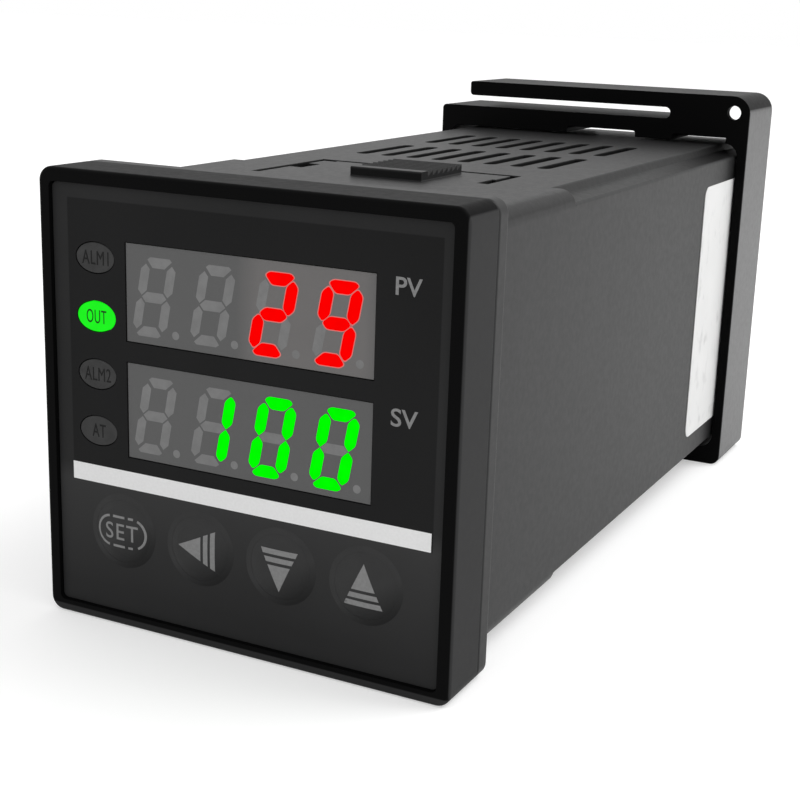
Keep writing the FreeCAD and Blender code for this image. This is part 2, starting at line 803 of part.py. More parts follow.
def make_side_board(side):
    half = side_board_height / 2
    corners = rectangle((side_board_front_y + side_board_rear_y) / 2, 0,
                        side_board_rear_y - side_board_front_y, 2 * half, 0.8)
    left, right = sorted((side * side_board_inner, side * side_board_outer))
    return prism(corners, "x", left, right)


def make_board_headers():
    headers = []
    for side in (-1, 1):
        headers.append(side_box(side, side_board_inner - header_thick, side_board_inner,
                                board_back_y, board_back_y + header_length,
                                -header_height / 2, header_height / 2))
    return group(headers)


def make_transformer_core():
    """Stack of E-shaped sheets: two windows leave a middle leg."""
    x0 = -side_board_inner
    z1 = core_low_z + core_height
    y1 = core_front + core_length
    body = box(x0, x0 + core_depth, core_front, y1, core_low_z, z1)
    window = (core_length - 3 * core_leg) / 2
    cutters = []
    for i in range(2):
        y = core_front + core_leg + i * (window + core_leg)
        cutters.append(box(x0 - 1, x0 + core_depth + 1, y, y + window,
                           core_low_z + core_leg / 2, z1 - core_leg / 2))
    return body.cut(cutters)


def make_transformer_coil():
    """Winding on the middle leg."""
    x0 = -side_board_inner
    window = (core_length - 3 * core_leg) / 2
    y0 = core_front + core_leg
    y1 = y0 + 2 * window + core_leg
    z0 = core_low_z + core_leg / 2 + trim_gap
    z1 = core_low_z + core_height - core_leg / 2 - trim_gap
    outer = prism(rectangle((y0 + y1) / 2, (z0 + z1) / 2, y1 - y0 - 2 * trim_gap, z1 - z0, 0), "x",
                  x0, x0 + core_depth + coil_overhang)
    leg = box(x0 - 1, x0 + core_depth, y0 + window, y0 + window + core_leg, z0 - 1, z1 + 1)
    return outer.cut(leg)


def make_output_relay():
    x1 = side_board_inner
    corners = rectangle(relay_front + relay_length / 2, relay_low_z + relay_height / 2, relay_length,
                        relay_height, 0.8)
    return prism(corners, "x", x1 - relay_depth, x1)


def make_main_capacitor():
    x = side_board_inner - capacitor_radius
    z = side_board_low_z + capacitor_rise
    can = rod_y(-x, z, capacitor_radius, capacitor_front, capacitor_front + capacitor_length)
    waist = capacitor_front + capacitor_waist
    waist_end = waist + capacitor_groove
    groove = rod_y(-x, z, capacitor_radius + 1, waist, waist_end)
    groove = groove.cut(rod_y(-x, z, capacitor_radius - capacitor_groove_depth, waist - 1, waist_end + 1))
    return can.cut(groove)


def make_small_capacitors():
    cans = []
    z = side_board_low_z + small_capacitor_rise
    for i in range(2):
        y = small_capacitor_y + i * small_capacitor_pitch
        cans.append(Part.makeCylinder(small_capacitor_radius, small_capacitor_length,
                                      Vector(side_board_inner, y, z), Vector(-1, 0, 0)))
    return group(cans)


def make_processor_chip():
    corners = rectangle(chip_y, chip_z, chip_size, chip_size, 0)
    return prism(corners, "x", side_board_inner - chip_thick, side_board_inner)


def make_fuse():
    x = -side_board_inner + fuse_radius
    return rod_y(x, fuse_z, fuse_radius, fuse_y, fuse_y + fuse_length)


def make_trimmer():
    x = side_board_inner
    corners = rectangle(trimmer_y, trimmer_z, trimmer_size, trimmer_size, 0.4)
    body = prism(corners, "x", x - trimmer_thick, x)
    rotor_x = x - trimmer_thick - trimmer_rotor
    rotor = Part.makeCylinder(trimmer_rotor_radius, trimmer_rotor, Vector(rotor_x, trimmer_y, trimmer_z),
                              Vector(1, 0, 0))
    slot = box(rotor_x - 1, rotor_x + trimmer_slot_depth, trimmer_y - trimmer_rotor / 2,
               trimmer_y + trimmer_rotor / 2, trimmer_z - trimmer_size, trimmer_z + trimmer_size)
    return joined([body, rotor]).cut(slot)


def make_board_brace():
    """Low trough between the side boards, with a sloping post against each."""
    end = side_board_inner
    post = end - brace_post
    foot = post - brace_slope
    top = brace_low_z + brace_height
    floor = brace_low_z + brace_floor
    corners = [(-end, brace_low_z, 0), (end, brace_low_z, 0), (end, top, 0), (post, top, 0),
               (foot, floor, brace_slope / 2), (-foot, floor, brace_slope / 2), (-post, top, 0),
               (-end, top, 0)]
    return prism(corners, "y", brace_start, brace_start + brace_length)


# ---- all pieces -------------------------------------------------------------------------------------
nodes = {}
nodes["case_shell"] = make_case_shell()
nodes["terminal_block"] = make_terminal_block()
nodes["terminal_contacts"] = make_terminal_contacts()
nodes["clamp_washers"] = make_clamp_washers()
nodes["terminal_screws"] = make_terminal_screws()
nodes["side_label"] = make_side_label()
nodes["mounting_frame"] = make_mounting_frame()
nodes["bezel"] = make_bezel()
nodes["front_film"] = make_front_film()
nodes["upper_display"], nodes["upper_lit_segments"], nodes["upper_unlit_segments"] = display_pieces(
    upper_window_z, "  29")
nodes["lower_display"], nodes["lower_lit_segments"], nodes["lower_unlit_segments"] = display_pieces(
    lower_window_z, " 100")
for lamp_name, lamp_z in zip(lamp_names, lamp_zs):
    nodes["lamp_" + lamp_name] = make_lamp(lamp_z)
nodes["indicator_leds"] = make_indicator_leds()
for key_name, key_x in zip(key_names, key_xs):
    nodes["key_" + key_name] = make_key(key_x)
    nodes["plunger_" + key_name] = make_plunger(key_x)
nodes["tact_switches"] = make_tact_switches()
nodes["display_board"] = make_display_board()
nodes["board_screws"] = make_board_screws()
nodes["power_board"] = make_side_board(-1)
nodes["control_board"] = make_side_board(1)
nodes["board_headers"] = make_board_headers()
nodes["transformer_core"] = make_transformer_core()
nodes["transformer_coil"] = make_transformer_coil()
nodes["output_relay"] = make_output_relay()
nodes["main_capacitor"] = make_main_capacitor()
nodes["small_capacitors"] = make_small_capacitors()
nodes["processor_chip"] = make_processor_chip()
nodes["fuse"] = make_fuse()
nodes["trimmer"] = make_trimmer()
nodes["board_brace"] = make_board_brace()

os.makedirs("parts", exist_ok=True)
for name, shape in nodes.items():
    if not shape.isValid():
        raise ValueError(name + " is not a valid shape")
    shape.exportStep("parts/" + name + ".step")
    print(name, len(shape.Solids), "solids", round(shape.Volume, 2), "mm3")
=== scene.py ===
import json
import math

import bmesh
import bpy
from mathutils import Matrix, Vector
from mathutils.bvhtree import BVHTree


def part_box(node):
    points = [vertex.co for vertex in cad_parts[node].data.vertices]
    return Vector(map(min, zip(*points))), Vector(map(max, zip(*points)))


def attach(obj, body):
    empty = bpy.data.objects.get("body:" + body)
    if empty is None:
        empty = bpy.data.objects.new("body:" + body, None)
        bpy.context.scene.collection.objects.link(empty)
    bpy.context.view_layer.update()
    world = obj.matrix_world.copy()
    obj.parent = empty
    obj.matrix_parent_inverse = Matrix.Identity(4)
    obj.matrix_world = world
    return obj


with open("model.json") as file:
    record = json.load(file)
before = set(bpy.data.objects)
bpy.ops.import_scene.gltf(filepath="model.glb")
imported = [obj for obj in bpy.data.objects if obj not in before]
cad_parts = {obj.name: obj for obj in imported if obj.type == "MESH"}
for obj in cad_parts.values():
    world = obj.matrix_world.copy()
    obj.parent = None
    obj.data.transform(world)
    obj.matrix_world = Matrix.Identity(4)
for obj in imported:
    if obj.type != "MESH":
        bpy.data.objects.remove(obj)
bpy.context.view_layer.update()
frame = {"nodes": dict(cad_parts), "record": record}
nodes = frame["nodes"]
mm = 0.001
link = bpy.context.scene.collection.objects.link

# ---- sizes of what is printed and fitted here, in millimetres ----
ink_height = 0.02          # ink stands this far above what carries it
ink_depth = 0.01           # and reaches this far below
bold = 0.012               # added to the strokes of bold words, as a share of their size
panel_left, panel_right = -20.6, 21.4        # dark panel of the overlay
panel_low, panel_high = -8.6, 21.0
stripe_left, stripe_right = -20.7, 21.3      # white stripe under it
stripe_low, stripe_high = -8.65, -6.75
film_fade_low = -20.0      # the film pales from here up to the stripe
key_shade_start, key_shade_end = 0.4, 3.9    # painted shade darkens a key over this way, from its middle down right
glow_width = 0.1           # a lit segment looks wider by this much on every side
halo_width = 0.19          # and its light bleeds this far into the filler
hairline = 0.07            # left between the lit faces of two neighbours
painted_glow_left, painted_glow_right = 2.0, 13.5            # painted glow round the lit digits of the upper display
painted_glow_soft = 2.5
track_pitch = 1.05         # of the copper tracks
track_cell = 4.2           # size of the squares in which tracks run one way
lip_profile = [(3.42, 0.088), (3.5, 0.078), (3.6, 0.060), (3.7, 0.042), (3.8, 0.026), (3.92, 0.012),
               (4.06, 0.003), (4.06, -0.01), (3.75, -0.01)]    # radius and height over the film
corner_rounding = 0.3      # of the lit faces
lamp_letter_height = 1.4
terminal_rows = 5
screw_head = 5.5           # width of a terminal screw's head
number_height, number_width = 1.9, 1.05
number_widths = {1: 0.4, 10: 2.0}            # of the two numbers with another width
number_x = 9.3             # middle of a column of numbers
number_rise = 0.06         # raised print of the numbers

# ---- floor, light and camera, in metres and degrees ----
floor_size = 12.0
floor_dark, floor_pale = 0.715, 0.725
floor_glow = 0.38          # added where the camera or a reflection sees the floor
world_level = 0.92         # light of the surroundings, which are seen as 1.0
light_target = (0.0, 0.045, 0.0)
camera_place = (0.07657, -0.12664, 0.04139)
camera_azimuth, camera_elevation, camera_roll = 26.56, 15.16, 1.86
camera_lens = 66.74        # millimetres

# ---- colours, linear ----
case_black = (0.014, 0.014, 0.0142)
# painted shade: the inside of the case is coloured darker than its outside
case_inside_painted_shade = (0.002, 0.002, 0.0021)
# painted shade: the ridged pad on top is coloured darker than the case
pad_painted_shade = (0.003, 0.003, 0.0031)
block_black = (0.010, 0.010, 0.0102)
frame_black = (0.0028, 0.0028, 0.0029)
# painted light: the mounting frame's side faces are coloured paler than its front
frame_side_painted_light = (0.045, 0.045, 0.0453)
bezel_black = (0.0035, 0.0035, 0.0036)
# painted reflection: the bezel's lower edge is coloured paler, as if it caught the pale floor
bezel_foot_painted_reflection = (0.030, 0.030, 0.0304)
# painted light: the bezel's right side is coloured paler than the rest of it
bezel_side_painted_light = (0.034, 0.034, 0.0344)
film_dark = (0.0105, 0.0105, 0.0107)
film_margin = (0.021, 0.021, 0.0213)
film_under_stripe = (0.037, 0.037, 0.0373)
key_grey = (0.034, 0.034, 0.0343)
key_shadow = (0.0085, 0.0085, 0.0087)
window_grey = (0.112, 0.112, 0.112)
# painted light of the lit digits on the upper display's face
window_painted_glow = (0.158, 0.152, 0.150)
segment_grey = (0.195, 0.195, 0.195)
lens_grey = (0.042, 0.042, 0.042)
ink_grey = (0.225, 0.225, 0.225)
ink_white = (0.80, 0.80, 0.80)
lit_red = (1.0, 0.0, 0.0)
lit_green = (0.0, 1.0, 0.0)
steel = (0.62, 0.61, 0.58)
brass = (0.72, 0.52, 0.24)
tin = (0.66, 0.67, 0.68)


def middle_of(node):
    """Middle of a node's box, in metres."""
    return [(a + b) / 2 for a, b in zip(*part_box(node))]


# ---- material building ----
class Look:
    """A material with its Principled shader, and short calls for the nodes that feed it."""

    def __init__(self, name, colour, roughness, specular=0.5, metallic=0.0):
        self.material = bpy.data.materials.new(name)
        self.material.use_nodes = True
        self.tree = self.material.node_tree
        self.shader = self.tree.nodes["Principled BSDF"]
        self.shader.inputs["Base Color"].default_value = (*colour, 1)
        self.shader.inputs["Roughness"].default_value = roughness
        self.shader.inputs["Specular IOR Level"].default_value = specular
        self.shader.inputs["Metallic"].default_value = metallic
        self.place = self.node("ShaderNodeTexCoord").outputs["Object"]

    def node(self, kind, links=(), **settings):
        """Adds a node; links gives each named socket another node's output or a plain value."""
        made = self.tree.nodes.new(kind)
        for key, value in settings.items():
            setattr(made, key, value)
        for socket, source in dict(links).items():
            if hasattr(source, "is_linked"):
                self.tree.links.new(source, made.inputs[socket])
            else:
                made.inputs[socket].default_value = source
        return made

    def noise(self, scale, detail=2.0, stretch=(1, 1, 1), roughness=0.5):
        where = self.place
        if stretch != (1, 1, 1):
            where = self.node("ShaderNodeMapping", {"Vector": where, "Scale": stretch}).outputs["Vector"]
        links = {"Vector": where, "Scale": scale, "Detail": detail, "Roughness": roughness}
        return self.node("ShaderNodeTexNoise", links).outputs["Fac"]

    def ramp(self, factor, low=0.3, high=0.7, low_value=0.0, high_value=1.0):
        links = {"Value": factor, "From Min": low, "From Max": high,
                 "To Min": low_value, "To Max": high_value}
        return self.node("ShaderNodeMapRange", links).outputs["Result"]

    def math(self, operation, a, b=0.0):
        return self.node("ShaderNodeMath", {0: a, 1: b}, operation=operation).outputs["Value"]

    def mix(self, factor, a, b, blend="MIX"):
        links = {"Factor": factor}
        for socket, value in ((6, a), (7, b)):
            links[socket] = (*value, 1) if isinstance(value, tuple) else value
        return self.node("ShaderNodeMix", links, data_type="RGBA", blend_type=blend).outputs[2]

    def feed(self, socket, source):
        self.tree.links.new(source, self.shader.inputs[socket])

    def colour(self, source):
        self.feed("Base Color", source)

    def roughness(self, source, low, high):
        """Roughness from low to high, as a noise goes."""
        self.feed("Roughness", self.ramp(source, 0.3, 0.7, low, high))

    def glow(self, source, strength):
        """Lets the surface shine with a colour, or with the colour of a node's output."""
        if isinstance(source, tuple):
            self.shader.inputs["Emission Color"].default_value = (*source, 1)
        else:
            self.feed("Emission Color", source)
        self.shader.inputs["Emission Strength"].default_value = strength

    def bump(self, height, distance, strength, edge=0.0):
        """Relief of some distance, on edges rounded by a radius; both in millimetres."""
        links = {"Height": height, "Distance": distance * mm, "Strength": strength}
        if edge > 0:
            rounded = self.node("ShaderNodeBevel", {"Radius": edge * mm}, samples=6)
            links["Normal"] = rounded.outputs["Normal"]
        bumped = self.node("ShaderNodeBump", links)
        self.feed("Normal", bumped.outputs["Normal"])

    def mottle(self, colour, pattern, first, second, low=0.3, high=0.7):
        """Colours between two shades of a colour, by a pattern."""
        share = self.ramp(pattern, low, high)
        self.colour(self.mix(share, shade(colour, first), shade(colour, second)))

    def coordinates(self):
        return self.node("ShaderNodeSeparateXYZ", {0: self.place}).outputs

    def inside(self, place, low, high, soft):
        """1 between low and high along one coordinate, falling to 0 over soft outside them."""
        rise = self.ramp(place, low - soft, low)
        fall = self.ramp(place, high, high + soft, 1.0, 0.0)
        return self.math("MULTIPLY", rise, fall)


def shade(colour, factor):
    return tuple(channel * factor for channel in colour)


def moulded_plastic(name, colour, roughness, specular, grain=0.12, depth=0.006, painted_zones=(), zone_shine=None):
    """Moulded black plastic: fine spark-eroded grain, faint flow marks, softly rounded edges.

    A zone is a colour of painted light or shade and the lowest and highest corners, in millimetres, of the
    box that has it.
    """
    look = Look(name, colour, roughness, specular)
    flow = look.ramp(look.noise(14.0, 2.0))
    tone = look.mix(flow, shade(colour, 0.94), shade(colour, 1.06))
    places = look.coordinates()
    zoned = 0.0
    for painted_zone_colour, low, high in painted_zones:
        share = 1.0
        for place, start, end in zip(places, low, high):
            share = look.math("MULTIPLY", share, look.inside(place, start * mm, end * mm, 0.1 * mm))
        # each zone mixes its painted light or shade into the tone
        tone = look.mix(share, tone, painted_zone_colour)
        zoned = look.math("MAXIMUM", share, zoned)
    look.colour(tone)
    if zone_shine is not None:
        look.feed("Specular IOR Level", look.ramp(zoned, 0.0, 1.0, specular, zone_shine))
    scuffs = look.noise(1400.0, 4.0)
    look.roughness(scuffs, roughness - 0.02, roughness + 0.03)
    grains = look.noise(1.0 / (grain * mm), 3.0, roughness=0.6)
    look.bump(grains, depth, 0.6, 0.12)
    return look.material


def matte_surface(look):
    """Fine fibres of the overlay and the keys."""
    fibres = look.noise(9000.0, 2.0)
    look.roughness(fibres, 0.50, 0.62)
    look.bump(fibres, 0.003, 0.5)
    return look.material


def overlay_film():
    """Matte printed overlay: dark panel round the windows, lighter margin and key field."""
    look = Look("overlay_film", film_margin, 0.55, 0.08)
    x, _, z = look.coordinates()
    soft = 0.12 * mm
    across = look.inside(x, panel_left * mm, panel_right * mm, soft)
    upright = look.inside(z, panel_low * mm, panel_high * mm, soft)
    cloud = look.ramp(look.noise(60.0, 2.0), 0.3, 0.7, 0.9, 1.1)
    rise = look.ramp(z, film_fade_low * mm, stripe_low * mm)
    fall = look.ramp(z, stripe_low * mm, stripe_high * mm, 1.0, 0.0)
    margin = look.mix(look.math("MULTIPLY", rise, fall), film_margin, film_under_stripe)
    panel = look.mix(look.math("MULTIPLY", across, upright), margin, film_dark)
    look.colour(look.mix(1.0, panel, cloud, "MULTIPLY"))
    return matte_surface(look)


def key_cap(node):
    """Matte grey dome, rubbed paler on its crown, with painted shade that darkens it towards its lower
    right.
    """
    look = Look("cap_" + node, key_grey, 0.5, 0.12)
    x, _, z = look.coordinates()
    middle_x, _, middle_z = middle_of(node)
    right = look.math("SUBTRACT", x, middle_x)
    down = look.math("SUBTRACT", middle_z, z)
    way = look.math("ADD", look.math("MULTIPLY", right, 0.5), look.math("MULTIPLY", down, 0.87))
    worn = look.ramp(look.noise(350.0, 3.0), 0.35, 0.7)
    tone = look.mix(worn, shade(key_grey, 0.95), shade(key_grey, 1.07))
    # painted shade: darker towards the key's lower right
    share = look.ramp(way, key_shade_start * mm, key_shade_end * mm)
    look.colour(look.mix(share, tone, key_shadow))
    return matte_surface(look)


def display_face(name, painted_glow_ends=None):
    """Grey display face; the second argument gives the ends of the stretch painted paler with the light of
    the lit digits.
    """
    look = Look(name, window_grey, 0.5, 0.12)
    if painted_glow_ends:
        # painted light of the lit digits: paler between their ends
        near = look.inside(look.coordinates()[0], painted_glow_ends[0] * mm, painted_glow_ends[1] * mm, painted_glow_soft * mm)
        cloud = look.ramp(look.noise(160.0, 2.0), 0.3, 0.7, 0.85, 1.15)
        look.colour(look.mix(look.math("MULTIPLY", near, cloud), window_grey, window_painted_glow))
    look.roughness(look.noise(4000.0), 0.45, 0.55)
    look.bump(look.noise(5000.0), 0.002, 0.4)
    return look.material


def segment_unlit():
    """Milky filler of a dark segment."""
    look = Look("segment_unlit", segment_grey, 0.4, 0.12)
    milk = look.noise(900.0, 3.0)
    look.mottle(segment_grey, milk, 0.94, 1.06, 0.35, 0.65)
    look.bump(milk, 0.002, 0.3)
    return look.material


def segment_lit(name, colour, deep):
    """Glowing segment, a little deeper in colour where the diode is further away."""
    look = Look(name, (0.0, 0.0, 0.0), 0.5, 0.0)
    spread = look.ramp(look.noise(700.0, 2.0))
    look.glow(look.mix(spread, colour, deep), 1.0)
    look.bump(look.noise(2500.0), 0.002, 0.3)
    return look.material


def halo(name, colour, strength):
    """Filler beside a lit segment, where its light bleeds out."""
    look = Look(name, window_grey, 0.5, 0.2)
    grain = look.ramp(look.noise(3000.0), 0.3, 0.7, 0.8, 1.2)
    look.glow(colour, strength)
    look.colour(look.mix(grain, window_grey, shade(window_grey, 1.3)))
    look.bump(look.noise(3000.0), 0.002, 0.3)
    return look.material


def lamp_lens(name, colour, lit=None):
    """Oval lens: smoked when off; when lit it glows, slightly unevenly."""
    look = Look(name, colour, 0.42, 0.1)
    cloud = look.noise(800.0, 3.0)
    look.mottle(colour, cloud, 0.85, 1.15)
    if lit:
        look.glow(look.mix(look.ramp(cloud), lit, shade(lit, 0.9)), 0.95)
    look.bump(look.noise(4000.0), 0.002, 0.4, 0.15)
    return look.material


def ink(name, colour, pinholes=0.9):
    """Screen-printed ink: even, with faint pinholes of a darker shade and a matte grain."""
    look = Look(name, colour, 0.6, 0.2)
    cover = look.noise(3500.0, 3.0)
    look.mottle(colour, cover, pinholes, 1.02, 0.38, 0.62)
    look.roughness(cover, 0.55, 0.7)
    look.bump(cover, 0.002, 0.4)
    return look.material


def label_paper():
    """White label with faint grey rub marks and a slight curl of its surface."""
    paper = (0.70, 0.70, 0.695)
    look = Look("label_paper", paper, 0.5, 0.3)
    marks = look.ramp(look.noise(480.0, 3.0, stretch=(1.0, 1.0, 0.7)), 0.56, 0.72, 0.0, 1.0)
    faint = look.ramp(look.noise(90.0, 2.0), 0.35, 0.65)
    stained = look.mix(look.math("MULTIPLY", marks, faint), paper, (0.40, 0.40, 0.40))
    look.colour(look.mix(look.ramp(faint, 0.0, 1.0, 0.0, 0.5), stained, (0.64, 0.64, 0.635)))
    look.feed("Roughness", look.ramp(faint, 0.0, 1.0, 0.42, 0.58))
    look.bump(look.noise(2500.0, 4.0), 0.006, 0.5, 0.05)
    return look.material


def plated_metal(name, colour, roughness, brush=(1.0, 1.0, 1.0)):
    """Metal with fine strokes and faint stains."""
    look = Look(name, colour, roughness, 0.5, 1.0)
    stain = look.noise(420.0, 4.0)
    look.mottle(colour, stain, 1.0, 0.82, 0.35)
    strokes = look.noise(3200.0, 3.0, stretch=brush)
    look.roughness(strokes, roughness - 0.08, roughness + 0.12)
    look.bump(strokes, 0.006, 0.5, 0.12)
    return look.material


def circuit_board():
    """Green solder mask over copper: tracks and filled squares show through paler."""
    mask = (0.010, 0.085, 0.030)
    over_copper = (0.022, 0.165, 0.055)
    look = Look("circuit_board", mask, 0.28, 0.5)
    _, y, z = look.coordinates()
    links = {"Vector": look.place, "Scale": 1 / (track_cell * mm), "Randomness": 0.0}
    cells = look.node("ShaderNodeTexVoronoi", links, distance="CHEBYCHEV")
    chance = look.node("ShaderNodeSeparateColor", {0: cells.outputs["Color"]}).outputs[0]
    lines = []
    for place in (y, z):
        beat = look.math("FRACT", look.math("DIVIDE", place, track_pitch * mm))
        off_middle = look.math("ABSOLUTE", look.math("SUBTRACT", beat, 0.5))
        lines.append(look.ramp(off_middle, 0.16, 0.20, 1.0, 0.0))
    upright = look.math("GREATER_THAN", chance, 0.72)
    filled = look.math("LESS_THAN", chance, 0.22)
    tracks = look.math("ADD", look.math("MULTIPLY", lines[0], upright),
                       look.math("MULTIPLY", lines[1], look.math("SUBTRACT", 1.0, upright)))
    copper = look.math("MAXIMUM", tracks, filled)
    look.colour(look.mix(copper, mask, over_copper))
    look.roughness(look.noise(600.0), 0.24, 0.36)
    look.bump(copper, 0.03, 0.6)
    return look.material


def glossy_moulding(name, colour, roughness, specular=0.5):
    """Smooth moulded part whose tone varies slightly."""
    look = Look(name, colour, roughness, specular)
    look.mottle(colour, look.noise(260.0, 3.0), 0.88, 1.12)
    look.roughness(look.noise(1800.0), roughness - 0.04, roughness + 0.06)
    look.bump(look.noise(5200.0, 2.0), 0.004, 0.5, 0.12)
    return look.material


def laminated_core():
    """Edges of stacked sheets show as fine lines across the stack."""
    colour = (0.16, 0.165, 0.175)
    look = Look("laminated_core", colour, 0.42, 0.5, 0.85)
    sheets = look.node("ShaderNodeTexWave", {"Vector": look.place, "Scale": 320.0, "Distortion": 0.3},
                       bands_direction="X").outputs["Fac"]
    rust = look.ramp(look.noise(300.0, 4.0), 0.5, 0.75)
    look.colour(look.mix(rust, colour, (0.10, 0.075, 0.06)))
    look.feed("Roughness", look.ramp(sheets, 0.0, 1.0, 0.35, 0.55))
    look.bump(sheets, 0.05, 0.6)
    return look.material


def winding_tape():
    """Yellow tape wound round the coil: overlapping turns show as faint ridges."""
    colour = (0.62, 0.42, 0.05)
    look = Look("winding_tape", colour, 0.25, 0.5)
    turns = look.node("ShaderNodeTexWave", {"Vector": look.place, "Scale": 70.0, "Distortion": 1.2},
                      bands_direction="X").outputs["Fac"]
    look.colour(look.mix(turns, shade(colour, 0.82), shade(colour, 1.1)))
    look.roughness(look.noise(500.0), 0.2, 0.34)
    look.bump(turns, 0.05, 0.5)
    return look.material


def capacitor_sleeve():
    """Dark shrink sleeve, slightly wrinkled."""
    colour = (0.012, 0.016, 0.055)
    look = Look("capacitor_sleeve", colour, 0.22, 0.5)
    wrinkle = look.noise(700.0, 3.0, stretch=(1.0, 0.25, 1.0))
    look.mottle(colour, wrinkle, 0.8, 1.3)
    look.roughness(wrinkle, 0.18, 0.3)
    look.bump(wrinkle, 0.02, 0.4, 0.2)
    return look.material


def ceramic():
    colour = (0.62, 0.58, 0.48)
    look = Look("fuse_ceramic", colour, 0.35, 0.5)
    specks = look.noise(1500.0, 4.0)
    look.mottle(colour, specks, 1.0, 0.8, 0.4)
    look.bump(specks, 0.01, 0.4, 0.1)
    return look.material


moulded = {                # colour, roughness, specular level, grain, its depth, zones of painted light and shade, their level
    "case_plastic": (case_black, 0.46, 0.2, 0.16, 0.006, [
        # painted shade inside the case
        (case_inside_painted_shade, (-22.2, 0.5, -22.2), (22.2, 95.0, 22.2)),
        # painted shade on the ridged pad
        (pad_painted_shade, (-10.0, 10.0, 22.55), (10.0, 32.0, 30.0)),
    ]),
    "block_plastic": (block_black, 0.5, 0.2, 0.2),
    "frame_plastic": (frame_black, 0.38, 0.02, 0.18, 0.004, [
        # painted light on both side faces of the mounting frame
        (frame_side_painted_light, (24.08, 80.0, -30.0), (26.0, 110.0, 30.0)),
        (frame_side_painted_light, (-26.0, 80.0, -30.0), (-24.08, 110.0, 30.0)),
    ], 0.45),
    "bezel_plastic": (bezel_black, 0.45, 0.02, 0.14, 0.004, [
        # painted light on the bezel's right side
        (bezel_side_painted_light, (23.9, -10.0, -30.0), (30.0, 0.0, 30.0)),
        # painted reflection on the bezel's lower edge
        (bezel_foot_painted_reflection, (-30.0, -10.0, -30.0), (30.0, 0.0, -23.15)),
    ]),
    "brace_plastic": (block_black, 0.4, 0.3),
    "header_plastic": (block_black, 0.35, 0.35),
}
glossy = {                 # colour, roughness, specular level
    "switch_body": ((0.02, 0.02, 0.021), 0.3),
    "plunger": ((0.025, 0.025, 0.026), 0.35),
    "relay_case": ((0.018, 0.019, 0.022), 0.26),
    "chip_epoxy": ((0.022, 0.022, 0.023), 0.5, 0.3),
    "trimmer_body": ((0.03, 0.10, 0.42), 0.3),
    "led_body": ((0.74, 0.74, 0.66), 0.2),
}
looks = {
    **{name: moulded_plastic(name, *values) for name, values in moulded.items()},
    **{name: glossy_moulding(name, *values) for name, values in glossy.items()},
    "film": overlay_film(),
    "segment_unlit": segment_unlit(),
    "lit_red": segment_lit("lit_red", lit_red, (0.94, 0.0, 0.0)),
    "lit_green": segment_lit("lit_green", lit_green, (0.0, 0.93, 0.0)),
    "lamp_unlit": lamp_lens("lamp_unlit", lens_grey),
    "lamp_lit": lamp_lens("lamp_lit", (0.0, 0.02, 0.0), (0.004, 0.97, 0.006)),
    "label_paper": label_paper(),
    "screw_steel": plated_metal("screw_steel", steel, 0.3),
    "contact_brass": plated_metal("contact_brass", brass, 0.32, brush=(1.0, 0.2, 1.0)),
    "circuit_board": circuit_board(),
    "core_steel": laminated_core(),
    "coil_tape": winding_tape(),
    "capacitor_sleeve": capacitor_sleeve(),
    "fuse_body": ceramic(),
}
key_nodes = ("key_set", "key_shift", "key_down", "key_up")
faces = {
    "upper_display": display_face("display_face_upper", (painted_glow_left, painted_glow_right)),
    "lower_display": display_face("display_face_lower"),
    **{node: key_cap(node) for node in key_nodes},
}
inks = {
    "white": ink("ink_white", ink_white, 0.985),
    "grey": ink("ink_grey", ink_grey),
    "dark": ink("ink_dark", (0.003, 0.003, 0.003)),
    "green": ink("ink_dark_green", (0.0, 0.045, 0.0)),
    "number": ink("ink_number", (0.5, 0.5, 0.5)),
}
details = {
    "tin": plated_metal("tinned_metal", tin, 0.25),
    "aluminium": plated_metal("aluminium", (0.72, 0.72, 0.73), 0.3),
    "gold": plated_metal("gold_finger", (0.78, 0.55, 0.20), 0.28),
    "stripe": ink("sleeve_stripe", (0.42, 0.43, 0.46)),
    "ceramic": glossy_moulding("ceramic_chip", (0.30, 0.19, 0.09), 0.4),
    "halo": halo("halo_red", (1.0, 0.10, 0.08), 0.5),
}
slot_of = {row["node"]: row["material_slot"] for row in frame["record"]["subparts"]}

for name, node in nodes.items():
    look = faces.get(name) or looks[slot_of[name]]
    node.data.materials.clear()
    node.data.materials.append(look)


# ---- flat shapes, drawn in X and Y and facing Z ----
def flat_shape(outlines, unit=mm):
    """Mesh of filled outlines, each a list of (x, y) in millimetres or in another unit."""
    mesh = bmesh.new()
    for outline in outlines:
        mesh.faces.new([mesh.verts.new((x * unit, y * unit, 0)) for x, y in outline])
    return mesh


def sides(outline):
    """Pairs of neighbouring points all the way round."""
    return zip(outline, outline[1:] + outline[:1])


def rectangle(left, right, low, high):
    """Corners of an upright rectangle, counted round it."""
    return [(left, low), (right, low), (right, high), (left, high)]


def written(words, left, right, low, high, weight=0.0, spacing=1.0):
    """Mesh of a word fitted into a box, whose sides are in millimetres."""
    curve = bpy.data.curves.new("word", "FONT")
    curve.body = words
    curve.space_character = spacing
    curve.offset = weight
    curve.resolution_u = 5
    holder = bpy.data.objects.new("word", curve)
    link(holder)
    drawn = bpy.data.meshes.new_from_object(holder.evaluated_get(bpy.context.evaluated_depsgraph_get()))
    mesh = bmesh.new()
    mesh.from_mesh(drawn)
    bpy.data.objects.remove(holder)
    bpy.data.curves.remove(curve)
    bpy.data.meshes.remove(drawn)
    bmesh.ops.remove_doubles(mesh, verts=mesh.verts, dist=1e-5)
    xs = [v.co.x for v in mesh.verts]
    ys = [v.co.y for v in mesh.verts]
    for v in mesh.verts:
        across = (v.co.x - min(xs)) / (max(xs) - min(xs))
        up = (v.co.y - min(ys)) / (max(ys) - min(ys))
        v.co = ((left + across * (right - left)) * mm, (low + up * (high - low)) * mm, 0)
    return mesh


